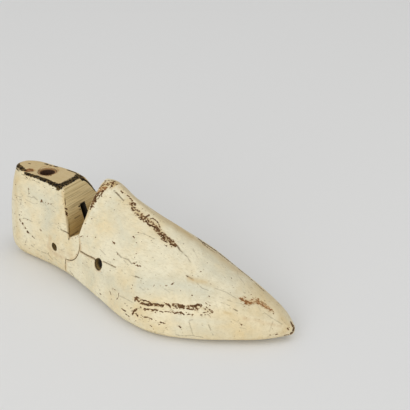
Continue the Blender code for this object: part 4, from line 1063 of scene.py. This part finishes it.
rusty_tube, tree, shader, here = finish("rusted_drawn_steel")
scale_spots = add(tree, "TexNoise", {"Vector": here, "Scale": per(2.2), "Detail": 6, "Roughness": 0.7})
pits = add(tree, "TexVoronoi", {"Vector": here, "Scale": per(0.9)})
above = add(tree, "SeparateXYZ", {"Vector": here}, gives=2)
at_rim = add(tree, "MapRange", {"Value": above, "From Min": RIM_LOW, "From Max": RIM_HIGH}, SMOOTH)
rust = add(tree, "Mix", {"Factor": scale_spots, "A": RUST_DARK, "B": RUST}, COLOUR)
rust = add(tree, "Mix", {"Factor": pits, "A": RUST_PIT, "B": rust}, COLOUR)
rim = add(tree, "Mix", {"Factor": scale_spots, "A": RIM_DARK, "B": RIM_PALE}, COLOUR)
worn_bright = {"Value": scale_spots, "From Min": 0.62, "From Max": 0.8, "To Max": 0.7}
fill(tree, shader, {
    "Base Color": add(tree, "Mix", {"Factor": at_rim, "A": rust, "B": rim}, COLOUR),
    "Metallic": add(tree, "MapRange", worn_bright),
    "Roughness": add(tree, "MapRange", {"Value": scale_spots, "To Min": 0.9, "To Max": 0.5}),
    "Normal": add(tree, "Bump", {"Strength": 0.6, "Distance": 0.2 * MM, "Height": pits}),
})
print(rusty_tube.name, "has", len(tree.nodes), "nodes")

# %% Dark mild steel of the pins, the link and the seat
STEEL_DARK, STEEL_PALE, STEEL_RUST = "#2B2723", "#6B6560", "#6A3D20"

dark_steel, tree, shader, here = finish("mild_steel_gone_dark")
tarnish = add(tree, "TexNoise", {"Vector": here, "Scale": per(3), "Detail": 5, "Roughness": 0.65})
rolled = add(tree, "Mapping", {"Vector": here, "Scale": (0.08, 1, 1)})
rolled = add(tree, "TexNoise", {"Vector": rolled, "Scale": per(0.4), "Detail": 2, "Roughness": 0.5})
speckle = add(tree, "MapRange", {"Value": tarnish, "From Min": 0.6, "From Max": 0.72})
steel = add(tree, "Mix", {"Factor": tarnish, "A": STEEL_DARK, "B": STEEL_PALE}, COLOUR)
less_by_rust = {0: speckle, 1: -0.8, 2: 0.95}
fill(tree, shader, {
    "Base Color": add(tree, "Mix", {"Factor": speckle, "A": steel, "B": STEEL_RUST}, COLOUR),
    "Metallic": add(tree, "Math", less_by_rust, {**SCALE_AND_SUM, "use_clamp": True}),
    "Roughness": add(tree, "MapRange", {"Value": tarnish, "To Min": 0.35, "To Max": 0.65}),
    "Normal": add(tree, "Bump", {"Strength": 0.3, "Distance": 0.05 * MM, "Height": rolled}),
})
print(dark_steel.name, "has", len(tree.nodes), "nodes")

# %% Oil-blackened wire of the spring
WIRE_DARK, WIRE_PALE = "#191817", "#45403A"

spring_wire, tree, shader, here = finish("oil_blackened_spring_wire")
oil = add(tree, "TexNoise", {"Vector": here, "Scale": per(1.2), "Detail": 4, "Roughness": 0.5})
fill(tree, shader, {
    "Base Color": add(tree, "Mix", {"Factor": oil, "A": WIRE_DARK, "B": WIRE_PALE}, COLOUR),
    "Metallic": 0.9,
    "Roughness": add(tree, "MapRange", {"Value": oil, "To Min": 0.28, "To Max": 0.5}),
})
print(spring_wire.name, "has", len(tree.nodes), "nodes")

# %% Give the steel pieces their finishes
for node, steel_finish in (("socket_thimble", rusty_tube), ("front_hinge_pin", dark_steel),
                           ("rear_hinge_pin", dark_steel), ("hinge_link", dark_steel),
                           ("spring_seat", dark_steel)):
    for place in nodes[node].material_slots:
        place.material = steel_finish
    print(node, "is", steel_finish.name)

# %% [markdown]
# ## The link's spring
#
# A compression spring is one wire, wound at an even pitch between its seat and the window's end. The
# solid has few points a turn. Here the same wire is wound again with many more, between the same two
# ends.

# %% A round wire along a line
def tube(name, line, axis, radius, sides):
    """A round wire along a line of points that winds round an axis, closed at both ends."""
    along = np.gradient(line, axis=0)
    along /= np.linalg.norm(along, axis=1)[:, None]
    across = np.cross(along, axis)
    across /= np.linalg.norm(across, axis=1)[:, None]
    upward = np.cross(along, across)
    turn = np.linspace(0, 2 * math.pi, sides, endpoint=False)[None, :, None]
    round_about = np.cos(turn) * across[:, None, :] + np.sin(turn) * upward[:, None, :]
    points = (line[:, None, :] + radius * round_about).reshape(-1, 3)
    faces = [(i + j, i + (j + 1) % sides, i + sides + (j + 1) % sides, i + sides + j)
             for i in range(0, (len(line) - 1) * sides, sides) for j in range(sides)]
    faces += [tuple(range(sides))[::-1], tuple(range((len(line) - 1) * sides, len(line) * sides))]
    mesh = bpy.data.meshes.new(name)
    mesh.from_pydata(points.tolist(), [], faces)
    mesh.shade_smooth()
    made = bpy.data.objects.new(name, mesh)
    bpy.context.scene.collection.objects.link(made)
    return made


# %% Wind the spring
WIRE = 1.0 * MM
TURNS = 6
STEPS_A_TURN, WIRE_SIDES = 48, 14

slide, swing = (next(joint for joint in frame["joints"] if joint["name"] == name)
                for name in ("seat_slide", "link_swing"))
coil_axis = Vector(slide["axis"]).normalized()
rear_pin = Vector(swing["pos_m"])
solid_mesh = nodes["link_spring"].data
reach = (read(solid_mesh, solid_mesh.vertices, "co", 3) - np.array(rear_pin)) @ np.array(coil_axis)
near_side, far_side = (corner.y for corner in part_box("link_spring"))
coil_radius = (far_side - near_side - WIRE) / 2
coil_low, coil_high = reach.min() + WIRE / 2, reach.max() - WIRE / 2
sideways = Vector((0, 1, 0))
upright = coil_axis.cross(sideways)
wire_line = []
for step in range(TURNS * STEPS_A_TURN + 1):
    turn = 2 * math.pi * step / STEPS_A_TURN
    share_of_length = step / (TURNS * STEPS_A_TURN)
    place = rear_pin + coil_axis * (coil_low + (coil_high - coil_low) * share_of_length)
    wire_line.append(place + coil_radius * (sideways * math.cos(turn) - upright * math.sin(turn)))
coil = tube("spring_coil", np.array(wire_line), np.array(coil_axis), WIRE / 2, WIRE_SIDES)
coil.data.materials.append(spring_wire)
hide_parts("link_spring")
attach(coil, "link")
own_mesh(coil)

# %% [markdown]
# ## The studio
#
# The last stands on pale matt paper, in light so soft that its shadow is hardly there. A pale surround
# gives most of it. A large lamp on the left and well up shapes the ball. A low one beside the camera
# reaches under the curve of the wall, one on the right reaches the V's sawn face, and one overhead
# lights the plateau. The light's level is plain: the paper renders a shade under its written colour.

# %% Floor
PAPER, SURROUND = "#EAEAE9", "#F5F5F5"
FLOOR_SIDE = 9.0

paper = bpy.data.materials.new("pale_paper")
paper.use_nodes = True
fill(paper.node_tree, paper.node_tree.nodes["Principled BSDF"],
     {"Base Color": PAPER, "Roughness": 0.9, "Specular IOR Level": 0.2})
half = FLOOR_SIDE / 2
floor_mesh = bpy.data.meshes.new("studio_floor")
floor_mesh.from_pydata([(-half, -half, 0), (half, -half, 0), (half, half, 0), (-half, half, 0)], [],
                       [(0, 1, 2, 3)])
floor = bpy.data.objects.new("studio_floor", floor_mesh)
bpy.context.scene.collection.objects.link(floor)
floor.data.materials.append(paper)
print("floor", FLOOR_SIDE, "m a side")

# %% Light
world = bpy.data.worlds.new("studio")
bpy.context.scene.world = world
world.use_nodes = True
fill(world.node_tree, world.node_tree.nodes["Background"], {"Color": SURROUND, "Strength": 0.6})

# Each lamp: where it stands and how wide it is, in metres, and its power in watts
lamps = {
    "key": ((-1.4, -3.0, 3.6), 3.4, 28),
    "front": ((0.9, -3.2, 0.8), 2.4, 48),
    "right": ((3.2, -1.6, 2.0), 2.4, 12),
    "top": ((1.2, 1.4, 4.4), 3.2, 25),
}
for name, (place, size, power) in lamps.items():
    lamp = bpy.data.objects.new(name, bpy.data.lights.new(name, "AREA"))
    lamp.data.size = size
    lamp.data.energy = power
    lamp.location = place
    lamp.rotation_euler = (-Vector(place)).to_track_quat("-Z", "Y").to_euler()
    bpy.context.scene.collection.objects.link(lamp)
print("lamps:", ", ".join(lamps))
